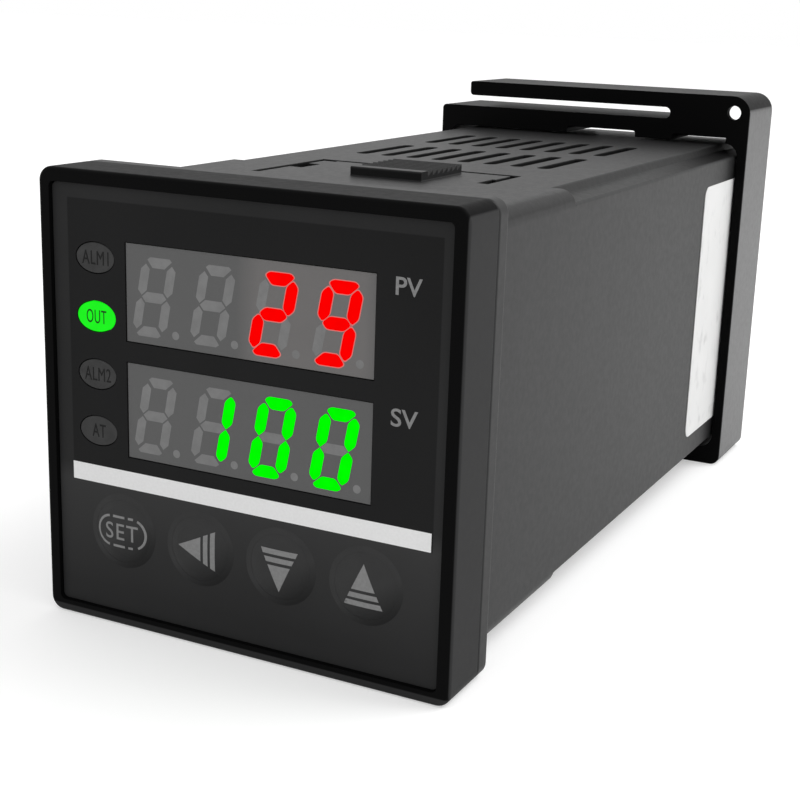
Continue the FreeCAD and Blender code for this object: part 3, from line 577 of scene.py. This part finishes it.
def cut_into_cells(mesh, step):
    """Cuts a flat shape along a square grid, so that it can follow a dome."""
    for axis in (0, 1):
        places = [v.co[axis] for v in mesh.verts]
        normal = Vector((axis == 0, axis == 1, 0))
        at = min(places) + step
        while at < max(places):
            everything = mesh.verts[:] + mesh.edges[:] + mesh.faces[:]
            bmesh.ops.bisect_plane(mesh, geom=everything, plane_co=normal * at, plane_no=normal)
            at += step


def thicken(mesh, low, high):
    """Gives a flat shape, or one laid on a dome, a front at high and a back at low."""
    for v in mesh.verts:
        v.co.z += low
    made = bmesh.ops.extrude_face_region(mesh, geom=mesh.faces[:])
    for part in made["geom"]:
        if isinstance(part, bmesh.types.BMVert):
            part.co.z += high - low
    bmesh.ops.recalc_face_normals(mesh, faces=mesh.faces)


def facing(way, x, y, z):
    """Turns a flat shape to the front (way 1) or the rear (-1) and puts its origin at a point."""
    return Matrix(((way, 0, 0, x), (0, 0, -way, y), (0, 1, 0, z), (0, 0, 0, 1)))


def add_piece(name, mesh, material, place=Matrix(), body="chassis", smooth=False):
    """Makes an object of a mesh, which rides on a body and has the given material."""
    mesh.transform(place)
    data = bpy.data.meshes.new(name)
    mesh.to_mesh(data)
    mesh.free()
    for face in data.polygons:
        face.use_smooth = smooth
    data.materials.append(material)
    made = bpy.data.objects.new(name, data)
    link(made)
    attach(made, body)
    return made


# ---- overlay print ----
film_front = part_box("front_film")[0].y


def print_on_film(name, mesh, material):
    thicken(mesh, -ink_depth * mm, ink_height * mm)
    add_piece(name, mesh, material, facing(1, 0, film_front, 0))


def print_overlay():
    stripe = flat_shape([rectangle(stripe_left, stripe_right, stripe_low, stripe_high)])
    print_on_film("white_stripe", stripe, inks["white"])
    print_on_film("mark_measured", written("PV", 16.75, 19.45, 15.4, 17.1, bold), inks["grey"])
    print_on_film("mark_set_value", written("SV", 16.65, 19.45, 3.0, 4.75, bold), inks["grey"])


# ---- lamp print ----
lamp_words = {
    "lamp_alarm_1": ("ALM1", 3.3, "dark"),
    "lamp_output": ("OUT", 2.5, "green"),
    "lamp_alarm_2": ("ALM2", 3.3, "dark"),
    "lamp_autotune": ("AT", 1.7, "dark"),
}


def print_lamps():
    for node, (words, width, colour) in lamp_words.items():
        x, _, z = middle_of(node)
        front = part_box(node)[0].y
        half = lamp_letter_height / 2
        mesh = written(words, -width / 2, width / 2, -half, half, spacing=1.1)
        thicken(mesh, -ink_depth * mm, ink_height * mm)
        add_piece("word_" + node, mesh, inks[colour], facing(1, x, front, z))


# ---- key print ----
def trapezium(low_half, high_half, low, high):
    """Upright bar whose ends follow the sides of a triangle."""
    return [(-low_half, low), (low_half, low), (high_half, high), (-high_half, high)]


def arrow_symbol():
    """Triangle over two bars, pointing up, with bars that widen as the triangle does."""
    return [
        [(0, 2.35), (-1.3, -0.4), (1.3, -0.4)],
        trapezium(1.72, 1.48, -1.25, -0.72),
        trapezium(2.12, 1.88, -2.1, -1.55),
    ]


def turned_shape(outlines, angle, shift_x, shift_y):
    """Mesh of outlines turned by degrees and then moved, all in millimetres."""
    turn = Matrix.Rotation(math.radians(angle), 2)
    made = []
    for outline in outlines:
        points = [turn @ Vector((x * mm, y * mm)) for x, y in outline]
        made.append([(p.x + shift_x * mm, p.y + shift_y * mm) for p in points])
    return flat_shape(made, 1.0)


def dashed_oval(half_length, half_height, width, dashes):
    """Dashes of an oval with straight sides, each given by its share of the way round."""
    straight = half_length - half_height
    arc = math.pi * half_height
    half_way = 2 * straight + arc

    def point_at(share, inset):
        along = share % 0.5 * 2 * half_way
        radius = half_height - inset
        x, y = half_way - along, -radius
        if along < straight:
            x, y = along, radius
        elif along < straight + arc:
            angle = (along - straight) / half_height
            x, y = straight + radius * math.sin(angle), radius * math.cos(angle)
        return (x, y) if share % 1.0 < 0.5 else (-x, -y)

    outlines = []
    for start, end in dashes:
        steps = max(2, round((end - start) * 48))
        shares = [start + (end - start) * i / steps for i in range(steps + 1)]
        outer = [point_at(share, 0) for share in shares]
        inner = [point_at(share, width) for share in reversed(shares)]
        outlines.append(outer + inner)
    return outlines


def set_symbol():
    """Dashed oval round the word SET."""
    dashes = [(-0.067, 0.0225), (0.050, 0.089), (0.1235, 0.371), (0.417, 0.450), (0.4775, 0.567),
              (0.600, 0.905)]
    oval = flat_shape(dashed_oval(3.1, 1.75, 0.26, dashes))
    word = written("SET", -2.05, 2.05, -0.9, 0.9, 0.004, 1.15)
    symbol = bmesh.new()
    for mesh in (oval, word):
        data = bpy.data.meshes.new("part")
        mesh.to_mesh(data)
        mesh.free()
        symbol.from_mesh(data)
        bpy.data.meshes.remove(data)
    return symbol


def print_key(node, mesh):
    """Lays a symbol on the dome of a key."""
    x, _, z = middle_of(node)
    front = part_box(node)[0].y
    cut_into_cells(mesh, 0.45 * mm)
    dome = BVHTree.FromPolygons([v.co for v in nodes[node].data.vertices],
                                [face.vertices for face in nodes[node].data.polygons])
    for v in mesh.verts:
        met = dome.ray_cast(Vector((x + v.co.x, front - mm, z + v.co.y)), Vector((0, 1, 0)))[0]
        v.co.z = front - met.y
    thicken(mesh, -ink_depth * mm, ink_height * mm)
    add_piece("symbol_" + node, mesh, inks["grey"], facing(1, x, front, z), node)


def add_key_lip(node):
    """Soft lip of the overlay that closes the gap round a key."""
    mesh = bmesh.new()
    ring = [mesh.verts.new((radius * mm, 0, rise * mm)) for radius, rise in lip_profile]
    edges = [mesh.edges.new((a, b)) for a, b in sides(ring)]
    bmesh.ops.spin(mesh, geom=ring + edges, axis=(0, 0, 1), cent=(0, 0, 0), steps=72, angle=math.tau)
    bmesh.ops.remove_doubles(mesh, verts=mesh.verts, dist=1e-6)
    bmesh.ops.recalc_face_normals(mesh, faces=mesh.faces)
    x, _, z = middle_of(node)
    # the lip takes its key's material, painted shade included
    made = add_piece("lip_" + node, mesh, faces[node], facing(1, x, film_front, z), smooth=True)
    made.data.set_sharp_from_angle(angle=math.radians(40))


def print_keys():
    print_key("key_set", set_symbol())
    print_key("key_shift", turned_shape(arrow_symbol(), 90, -0.1, 0.1))
    print_key("key_down", turned_shape(arrow_symbol(), 180, 0.0, -0.25))
    print_key("key_up", turned_shape(arrow_symbol(), 0, -0.1, 0.0))
    for node in key_nodes:
        add_key_lip(node)


# ---- light bleeding round the lit segments ----
def front_outlines(node):
    """Outlines of a node's front faces, as lists of 2-D points."""
    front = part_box(node)[0].y
    mesh = bmesh.new()
    mesh.from_mesh(nodes[node].data)
    bmesh.ops.remove_doubles(mesh, verts=mesh.verts, dist=0.002 * mm)
    behind = [v for v in mesh.verts if v.co.y > front + 0.01 * mm]
    bmesh.ops.delete(mesh, geom=behind, context="VERTS")
    bmesh.ops.dissolve_limit(mesh, angle_limit=math.radians(1), verts=mesh.verts, edges=mesh.edges)
    outlines = []
    for face in mesh.faces:
        points = [Vector((v.co.x, v.co.z)) for v in face.verts]
        area = sum(a.cross(b) for a, b in sides(points))
        outlines.append(points if area > 0 else points[::-1])
    mesh.free()
    return outlines


def clipped(outline, at, normal):
    """The part of an outline that lies behind a line."""
    kept = []
    for here, after in sides(outline):
        here_out = (here - at).dot(normal)
        after_out = (after - at).dot(normal)
        if here_out <= 0:
            kept.append(here)
        if (here_out < 0 < after_out) or (after_out < 0 < here_out):
            kept.append(here.lerp(after, here_out / (here_out - after_out)))
    return kept


def grown(outline, by):
    """An outline moved outwards by a distance."""
    wide = rectangle_round(outline, 4 * by)
    for here, after in sides(outline):
        run = (after - here).normalized()
        normal = Vector((run.y, -run.x))
        wide = clipped(wide, here + normal * by, normal)
    return wide


def rounded(outline, reach, steps=4):
    """An outline whose corners are bent over a distance on each side."""
    made = []
    for before, corner, after in zip(outline[-1:] + outline[:-1], outline, outline[1:] + outline[:1]):
        back = before - corner
        ahead = after - corner
        start = corner + back * min(0.45, reach / back.length)
        end = corner + ahead * min(0.45, reach / ahead.length)
        for step in range(steps + 1):
            share = step / steps
            made.append(start.lerp(corner, share).lerp(corner.lerp(end, share), share))
    return made


def rectangle_round(outline, margin):
    """Corners of the rectangle that holds an outline with a margin."""
    xs = [point.x for point in outline]
    ys = [point.y for point in outline]
    corners = rectangle(min(xs) - margin, max(xs) + margin, min(ys) - margin, max(ys) + margin)
    return [Vector(corner) for corner in corners]


def nearest_points(first, second):
    """Closest points of two outlines."""
    pairs = []
    for one, other, swapped in ((first, second, False), (second, first, True)):
        for point in one:
            for a, b in sides(other):
                share = min(1.0, max(0.0, (point - a).dot(b - a) / (b - a).length_squared))
                met = a.lerp(b, share)
                pairs.append((met, point) if swapped else (point, met))
    return min(pairs, key=lambda pair: (pair[1] - pair[0]).length)


def add_glow(name, node, material, width, gap, lift):
    """Lit faces grown past their segments, with a gap left between neighbours."""
    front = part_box(node)[0].y
    outlines = front_outlines(node)
    made = []
    for outline in outlines:
        wide = grown(outline, width * mm)
        for other in outlines:
            if other is outline:
                continue
            own, theirs = nearest_points(outline, other)
            apart = theirs - own
            if apart.length < 4 * width * mm:
                middle = (own + theirs) / 2 - apart.normalized() * gap / 2 * mm
                wide = clipped(wide, middle, apart.normalized())
        made.append(rounded(wide, corner_rounding * mm))
    mesh = flat_shape(made, 1.0)
    thicken(mesh, -0.01 * mm, lift * mm)
    add_piece(name, mesh, material, facing(1, 0, front, 0))


# ---- small parts on the inner boards ----
board_low, board_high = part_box("control_board")
inner_face, outer_face = board_low.x / mm, board_high.x / mm
lead_radius = 0.3
lead_reach = 1.4           # from the main capacitor's end to its bent leads
fuse_lead_reach = 1.2
smd_length, smd_width, smd_height, smd_end = 2.0, 1.25, 0.5, 0.4
joint_radius, joint_tip, joint_height, lead_stub = 0.85, 0.35, 0.45, 0.8
leg_width, leg_thick, leg_reach = 0.32, 0.12, 0.95
sunk = 0.01                # parts reach this far into what carries them
diode_radius, diode_length, diode_reach = 1.25, 4.8, 3.8
pin_pitch, pin_count, pin_half = 2.54, 8, 0.25
finger_length, finger_width, finger_thick = 7.6, 5.6, 0.035


def block(mesh, first, second):
    """Adds a box between two corners, in millimetres."""
    low = [min(pair) for pair in zip(first, second)]
    high = [max(pair) for pair in zip(first, second)]
    for v in bmesh.ops.create_cube(mesh, size=1.0)["verts"]:
        v.co = Vector([(a + (place + 0.5) * (b - a)) * mm for place, a, b in zip(v.co, low, high)])


def rod(mesh, start, end, radius, end_radius=None, steps=16):
    """Adds a round rod or a cone, in millimetres."""
    start = Vector(start) * mm
    end = Vector(end) * mm
    along = end - start
    tip = radius if end_radius is None else end_radius
    made = bmesh.ops.create_cone(mesh, cap_ends=True, segments=steps, radius1=radius * mm,
                                 radius2=tip * mm, depth=along.length)
    turn = along.to_track_quat("Z", "Y").to_matrix().to_4x4()
    bmesh.ops.transform(mesh, matrix=Matrix.Translation((start + end) / 2) @ turn, verts=made["verts"])


def bent_lead(mesh, x, start, bend, z):
    """Adds a lead that leaves a part along Y and bends into its board."""
    rod(mesh, (x, start, z), (x, bend, z), lead_radius)
    rod(mesh, (x + lead_radius, bend, z), (-inner_face - 0.1, bend, z), lead_radius)


def on_board(mesh, side, face, y, z, length, width, low, high):
    """Adds a box that stands on a side board: length along Y, width along Z."""
    base, out = (outer_face, 1) if face == "outer" else (inner_face, -1)
    block(mesh, (side * (base + out * low), y - length / 2, z - width / 2),
          (side * (base + out * high), y + length / 2, z + width / 2))


def add_smd_parts(name, places, material):
    """Small chip parts, each a body between two tinned ends; places are (side, face, y, z, upright)."""
    bodies = bmesh.new()
    ends = bmesh.new()
    for side, face, y, z, upright in places:
        size = (smd_width, smd_length) if upright else (smd_length, smd_width)
        on_board(bodies, side, face, y, z, *size, -sunk, smd_height)
        for way in (-1, 1):
            shift = way * (smd_length - smd_end) / 2
            at = (y, z + shift) if upright else (y + shift, z)
            end = (smd_width + 0.04, smd_end + 0.04) if upright else (smd_end + 0.04, smd_width + 0.04)
            on_board(ends, side, face, *at, *end, -sunk, smd_height + 0.03)
    add_piece(name, bodies, material)
    add_piece(name + "_ends", ends, details["tin"])


def add_joints(places):
    """Solder cones with clipped leads on the side boards' outer faces; places are (side, y, z)."""
    mesh = bmesh.new()
    for side, y, z in places:
        base = side * (outer_face - 2 * sunk)
        rod(mesh, (base, y, z), (side * (outer_face + joint_height), y, z), joint_radius, joint_tip, 12)
        rod(mesh, (base, y, z), (side * (outer_face + lead_stub), y, z), lead_radius, steps=8)
    add_piece("solder_joints", mesh, details["tin"])


def add_chip_legs(name, side, y, z, length, width, lift, along_y, along_z, pitch):
    """Bent legs round a chip: counts along its Y and Z edges."""
    top = lift + leg_thick
    runs = (                   # near and far ends from the chip's edge, low and high over the board
        (-0.05, 0.45, lift, top),
        (0.35, 0.35 + leg_thick, 0.0, top),
        (0.35, leg_reach, -sunk, leg_thick),
    )
    mesh = bmesh.new()
    for count, upright in ((along_y, True), (along_z, False)):
        for index in range(count):
            shift = (index - (count - 1) / 2) * pitch
            for way in (-1, 1):
                for near, far, low, high in runs:
                    out = way * (((width if upright else length) + near + far) / 2)
                    at = (y + shift, z + out) if upright else (y + out, z + shift)
                    leg = (leg_width, far - near) if upright else (far - near, leg_width)
                    on_board(mesh, side, "inner", *at, *leg, low, high)
    add_piece(name, mesh, details["tin"])


def sector(x, y, radius, angle, half_angle):
    """Outline of a thin curved strip round a centre."""
    angles = [angle + half_angle * (i / 4 - 1) for i in range(9)]
    outer = [(x + radius * 1.004 * math.cos(a), y + radius * 1.004 * math.sin(a)) for a in angles]
    inner = [(x + radius * 0.98 * math.cos(a), y + radius * 0.98 * math.sin(a)) for a in reversed(angles)]
    return outer + inner


side_place = Matrix(((0, 0, 1, 0), (1, 0, 0, 0), (0, 1, 0, 0), (0, 0, 0, 1)))


def dress_main_capacitor():
    """Pale stripe, scored end and bent leads; returns the places of its solder joints."""
    low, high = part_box("main_capacitor")
    x, _, z = [place / mm for place in middle_of("main_capacitor")]
    radius = (high.x - low.x) / 2 / mm
    front, rear = low.y / mm, high.y / mm
    stripe = flat_shape([sector(x, z, radius, math.radians(35), math.radians(22))])
    thicken(stripe, -(rear - 0.3) * mm, -(front + 3.0) * mm)
    add_piece("capacitor_stripe", stripe, details["stripe"], facing(1, 0, 0, 0))
    front_lead = front - lead_reach
    end = bmesh.new()
    rod(end, (x, rear - 0.05, z), (x, rear + 0.04, z), radius - 0.7, steps=40)
    add_piece("capacitor_end", end, details["aluminium"])
    scores = bmesh.new()
    block(scores, (x - 2.6, rear, z - 0.1), (x + 2.6, rear + 0.05, z + 0.1))
    block(scores, (x - 0.1, rear, z - 2.6), (x + 0.1, rear + 0.055, z + 2.6))
    add_piece("capacitor_scores", scores, inks["dark"])
    leads = bmesh.new()
    for way in (-1, 1):
        bent_lead(leads, x, front + 0.1, front_lead, z + way * 2.5)
    add_piece("capacitor_leads", leads, details["tin"])
    return [(-1, front_lead, z - 2.5), (-1, front_lead, z + 2.5)]


def dress_small_capacitors():
    """Pale stripes and scored ends; returns the places of their solder joints."""
    low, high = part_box("small_capacitors")
    z = (low.z + high.z) / 2 / mm
    radius = (high.z - low.z) / 2 / mm
    ends = bmesh.new()
    scores = bmesh.new()
    stripes = []
    joints = []
    for y in (low.y / mm + radius, high.y / mm - radius):
        top = low.x / mm
        rod(ends, (top + 0.05, y, z), (top - 0.04, y, z), radius - 0.5, steps=32)
        block(scores, (top - 0.05, y - 1.7, z - 0.08), (top, y + 1.7, z + 0.08))
        block(scores, (top - 0.055, y - 0.08, z - 1.7), (top, y + 0.08, z + 1.7))
        stripes.append(sector(y, z, radius, math.radians(60), math.radians(24)))
        joints += [(1, y - 1.25, z), (1, y + 1.25, z)]
    stripe = flat_shape(stripes)
    thicken(stripe, low.x + 0.4 * mm, high.x - 0.4 * mm)
    add_piece("small_capacitor_stripes", stripe, details["stripe"], side_place)
    add_piece("small_capacitor_ends", ends, details["aluminium"])
    add_piece("small_capacitor_scores", scores, inks["dark"])
    return joints


def dress_fuse():
    """End caps and bent leads; returns the places of their solder joints."""
    low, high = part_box("fuse")
    x, _, z = [place / mm for place in middle_of("fuse")]
    radius = (high.x - low.x) / 2 / mm
    caps = bmesh.new()
    joints = []
    for end, way in ((low.y / mm, 1), (high.y / mm, -1)):
        rod(caps, (x, end - way * 0.1, z), (x, end + way * 2.0, z), radius + 0.05, steps=32)
        bend = end - way * fuse_lead_reach
        bent_lead(caps, x, end, bend, z)
        joints.append((-1, bend, z))
    add_piece("fuse_caps", caps, details["tin"])
    return joints


def add_diodes(places):
    """Axial diodes, each with a pale band at one end; returns the places of their solder joints."""
    bodies = bmesh.new()
    bands = bmesh.new()
    leads = bmesh.new()
    joints = []
    x = -inner_face + 1.6
    half = diode_length / 2
    for y, z in places:
        rod(bodies, (x, y - half, z), (x, y + half, z), diode_radius, steps=24)
        rod(bands, (x, y + half - 1.2, z), (x, y + half - 0.5, z), diode_radius + 0.02, steps=24)
        for way in (-1, 1):
            bend = y + way * diode_reach
            bent_lead(leads, x, y + way * (half - 0.1), bend, z)
            joints.append((-1, bend, z))
    add_piece("diodes", bodies, looks["chip_epoxy"])
    add_piece("diode_bands", bands, details["stripe"])
    add_piece("diode_leads", leads, details["tin"])
    return joints


def add_header_pins():
    """Bent pins from each header to its side board; returns the places of their solder joints."""
    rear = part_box("board_headers")[1].y / mm
    pins = bmesh.new()
    joints = []
    for side in (-1, 1):
        for index in range(pin_count):
            z = (index - (pin_count - 1) / 2) * pin_pitch
            low, high = z - pin_half, z + pin_half
            block(pins, (side * 11.7, rear - 0.1, low), (side * 12.2, rear + 1.3, high))
            block(pins, (side * 12.1, rear + 0.8, low), (side * (inner_face + 0.1), rear + 1.3, high))
            joints.append((side, rear + 1.05, z))
    add_piece("header_pins", pins, looks["contact_brass"])
    return joints


def add_contact_fingers():
    """Plated pads at the side boards' rear edges, under the springy leaves."""
    pads = bmesh.new()
    rear = board_high.y / mm
    leaves_low, leaves_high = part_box("terminal_contacts")
    pitch = (leaves_high.z - leaves_low.z) / mm / terminal_rows
    for side in (-1, 1):
        for row in range(terminal_rows):
            z = (row - (terminal_rows - 1) / 2) * pitch
            for face in ("inner", "outer"):
                on_board(pads, side, face, rear - 4.2, z, finger_length, finger_width, -sunk, finger_thick)
    add_piece("contact_fingers", pads, details["gold"])


def dress_chips():
    """Legs and pin mark of the processor, two small chips and a crystal beside it."""
    low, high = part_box("processor_chip")
    _, y, z = [place / mm for place in middle_of("processor_chip")]
    size = (high.y - low.y) / mm
    add_chip_legs("processor_legs", 1, y, z, size, size, 0.7, 13, 13, 0.8)
    marks = bmesh.new()
    mark_y, mark_z = y - size / 2 + 1.6, z + size / 2 - 1.6
    rod(marks, (low.x / mm + 0.01, mark_y, mark_z), (low.x / mm - 0.015, mark_y, mark_z), 0.55, steps=20)
    chips = bmesh.new()
    for name, at_y, at_z in (("amplifier_legs", 44.0, 4.0), ("driver_legs", 36.0, 10.0)):
        on_board(chips, 1, "inner", at_y, at_z, 5.0, 4.0, 0.1, 1.6)
        mark_y, mark_z = at_y - 1.8, at_z + 1.2
        rod(marks, (inner_face - 1.59, mark_y, mark_z), (inner_face - 1.615, mark_y, mark_z), 0.35)
        add_chip_legs(name, 1, at_y, at_z, 5.0, 4.0, 0.7, 4, 0, 1.27)
    add_piece("small_chips", chips, looks["chip_epoxy"])
    add_piece("chip_marks", marks, inks["number"])
    crystal = bmesh.new()
    on_board(crystal, 1, "inner", 49.5, 10.0, 4.2, 10.5, -sunk, 3.4)
    bmesh.ops.bevel(crystal, geom=crystal.edges[:], offset=0.6 * mm, segments=3, affect="EDGES")
    add_piece("crystal", crystal, details["tin"])


def dress_boards():
    """All small parts of the inner boards; places are as add_joints and add_smd_parts have them."""
    joints = dress_main_capacitor() + dress_small_capacitors() + dress_fuse() + add_header_pins()
    joints += add_diodes([(y, z) for y in (37.0, 49.0) for z in (7.0, 11.0)])
    joints += [(-1, y, z) for y in (14.0, 18.0, 23.0, 28.0) for z in (-14.0, -2.0)]     # transformer
    joints += [(1, y, z) for y in (35.0, 51.0) for z in (-12.5, -7.5)] + [(1, 43.0, -10.0)]     # relay
    joints += [(1, 26.0, 1.0), (1, 26.0, 5.0), (1, 30.0, 3.0)]                          # trimmer
    joints += [(1, 49.5, 7.5), (1, 49.5, 12.5)]                                         # crystal
    add_joints(joints)
    add_contact_fingers()
    dress_chips()
    resistors = [(1, "outer", 15.0 + 4.5 * i, 12.5, True) for i in range(7)]
    resistors += [(1, "outer", 56.0 + 4.0 * i, z, False) for i in range(4) for z in (-3.0, 0.5, 4.0)]
    resistors += [(1, "inner", 14.0 + 3.5 * i, 12.0, True) for i in range(5)]
    resistors += [(-1, "outer", 60.0 + 4.0 * i, 10.0, True) for i in range(3)]
    resistors += [(-1, "inner", 60.0 + 4.0 * i, 12.0, True) for i in range(3)]
    capacitors = [(1, "outer", 17.0 + 9.0 * i, 8.0, False) for i in range(3)]
    capacitors += [(1, "inner", 14.0 + 3.5 * i, -6.0, True) for i in range(4)]
    capacitors += [(1, "inner", 54.0, -3.5 + 4.0 * i, True) for i in range(3)]
    add_smd_parts("resistors", resistors, looks["chip_epoxy"])
    add_smd_parts("ceramic_capacitors", capacitors, details["ceramic"])


# ---- rear: terminal numbers ----
def number_terminals():
    """Numbers beside the screws: 1 to 5 down the -X column, 6 to 10 down the +X one."""
    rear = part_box("terminal_block")[1].y
    low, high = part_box("terminal_screws")
    pitch = (high.z - low.z - screw_head * mm) / (terminal_rows - 1)
    for side, first in ((-1, 1), (1, 1 + terminal_rows)):
        for row in range(terminal_rows):
            number = first + row
            z = high.z - screw_head * mm / 2 - row * pitch
            width = number_widths.get(number, number_width)
            half = number_height / 2
            mesh = written(str(number), -width / 2, width / 2, -half, half, 0.01)
            thicken(mesh, -ink_depth * mm, number_rise * mm)
            place = facing(-1, side * number_x * mm, rear, z)
            add_piece("terminal_number_%d" % number, mesh, inks["number"], place, "case")


# ---- floor, light and camera ----
def seen_directly(tree):
    """1 for rays from the camera, a reflection or something clear, 0 for the others."""
    path = tree.nodes.new("ShaderNodeLightPath").outputs
    seen = path["Is Camera Ray"]
    for other in ("Is Glossy Ray", "Is Transmission Ray"):
        step = tree.nodes.new("ShaderNodeMath")
        step.operation = "MAXIMUM"
        tree.links.new(seen, step.inputs[0])
        tree.links.new(path[other], step.inputs[1])
        seen = step.outputs[0]
    return seen


def make_floor():
    """Pale floor that touches the bezel's and the mounting frame's lower edges."""
    bezel_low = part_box("bezel")[0]
    ring_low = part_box("mounting_frame")[0]
    slope = (ring_low.z - bezel_low.z) / (ring_low.y - bezel_low.y)
    bpy.ops.mesh.primitive_plane_add(size=floor_size)
    floor = bpy.context.object
    floor.name = "floor"
    floor.rotation_euler = (math.atan(slope), 0, 0)
    floor.location = (0, bezel_low.y, bezel_low.z - 0.02 * mm)
    look = Look("floor", (floor_dark,) * 3, 0.9, 0.05)
    look.colour(look.mix(look.noise(25.0, 3.0), (floor_dark,) * 3, (floor_pale,) * 3))
    look.glow((1, 1, 1), 0.0)
    look.feed("Emission Strength", look.math("MULTIPLY", seen_directly(look.tree), floor_glow))
    floor.data.materials.append(look.material)


def make_world():
    """White surroundings, a little brighter where the camera or a reflection sees them."""
    world = bpy.data.worlds.new("studio")
    bpy.context.scene.world = world
    world.use_nodes = True
    tree = world.node_tree
    background = tree.nodes["Background"]
    background.inputs["Color"].default_value = (1, 1, 1, 1)
    level = tree.nodes.new("ShaderNodeMapRange")
    level.inputs["To Min"].default_value = world_level
    tree.links.new(seen_directly(tree), level.inputs["Value"])
    tree.links.new(level.outputs["Result"], background.inputs["Strength"])


def add_softbox(name, place, size, watts):
    light = bpy.data.lights.new(name, "AREA")
    light.shape = "SQUARE"
    light.size = size
    light.energy = watts
    holder = bpy.data.objects.new(name, light)
    holder.location = place
    holder.rotation_euler = (Vector(light_target) - Vector(place)).to_track_quat("-Z", "Y").to_euler()
    link(holder)


def make_camera():
    """Camera at the photograph's viewing angle and its slight roll."""
    data = bpy.data.cameras.new("camera")
    data.lens = camera_lens
    data.clip_start = 0.01
    camera = bpy.data.objects.new("camera", data)
    link(camera)
    place = Matrix.Translation(camera_place)
    for angle, axis in ((camera_azimuth, "Z"), (90 - camera_elevation, "X"), (camera_roll, "Z")):
        place = place @ Matrix.Rotation(math.radians(angle), 4, axis)
    camera.matrix_world = place
    bpy.context.scene.camera = camera


print_overlay()
print_lamps()
print_keys()
add_glow("upper_digit_glow", "upper_lit_segments", looks["lit_red"], glow_width, hairline, 0.02)
add_glow("upper_digit_halo", "upper_lit_segments", details["halo"], halo_width, 0.0, 0.01)
add_glow("lower_digit_glow", "lower_lit_segments", looks["lit_green"], glow_width, hairline, 0.02)
dress_boards()
number_terminals()
make_floor()
make_world()
add_softbox("key_light", (0.45, 0.35, 0.65), 0.5, 3.5)
add_softbox("side_light", (0.75, 0.0, 0.15), 0.45, 0.5)
make_camera()
bpy.context.scene.view_settings.view_transform = "Standard"
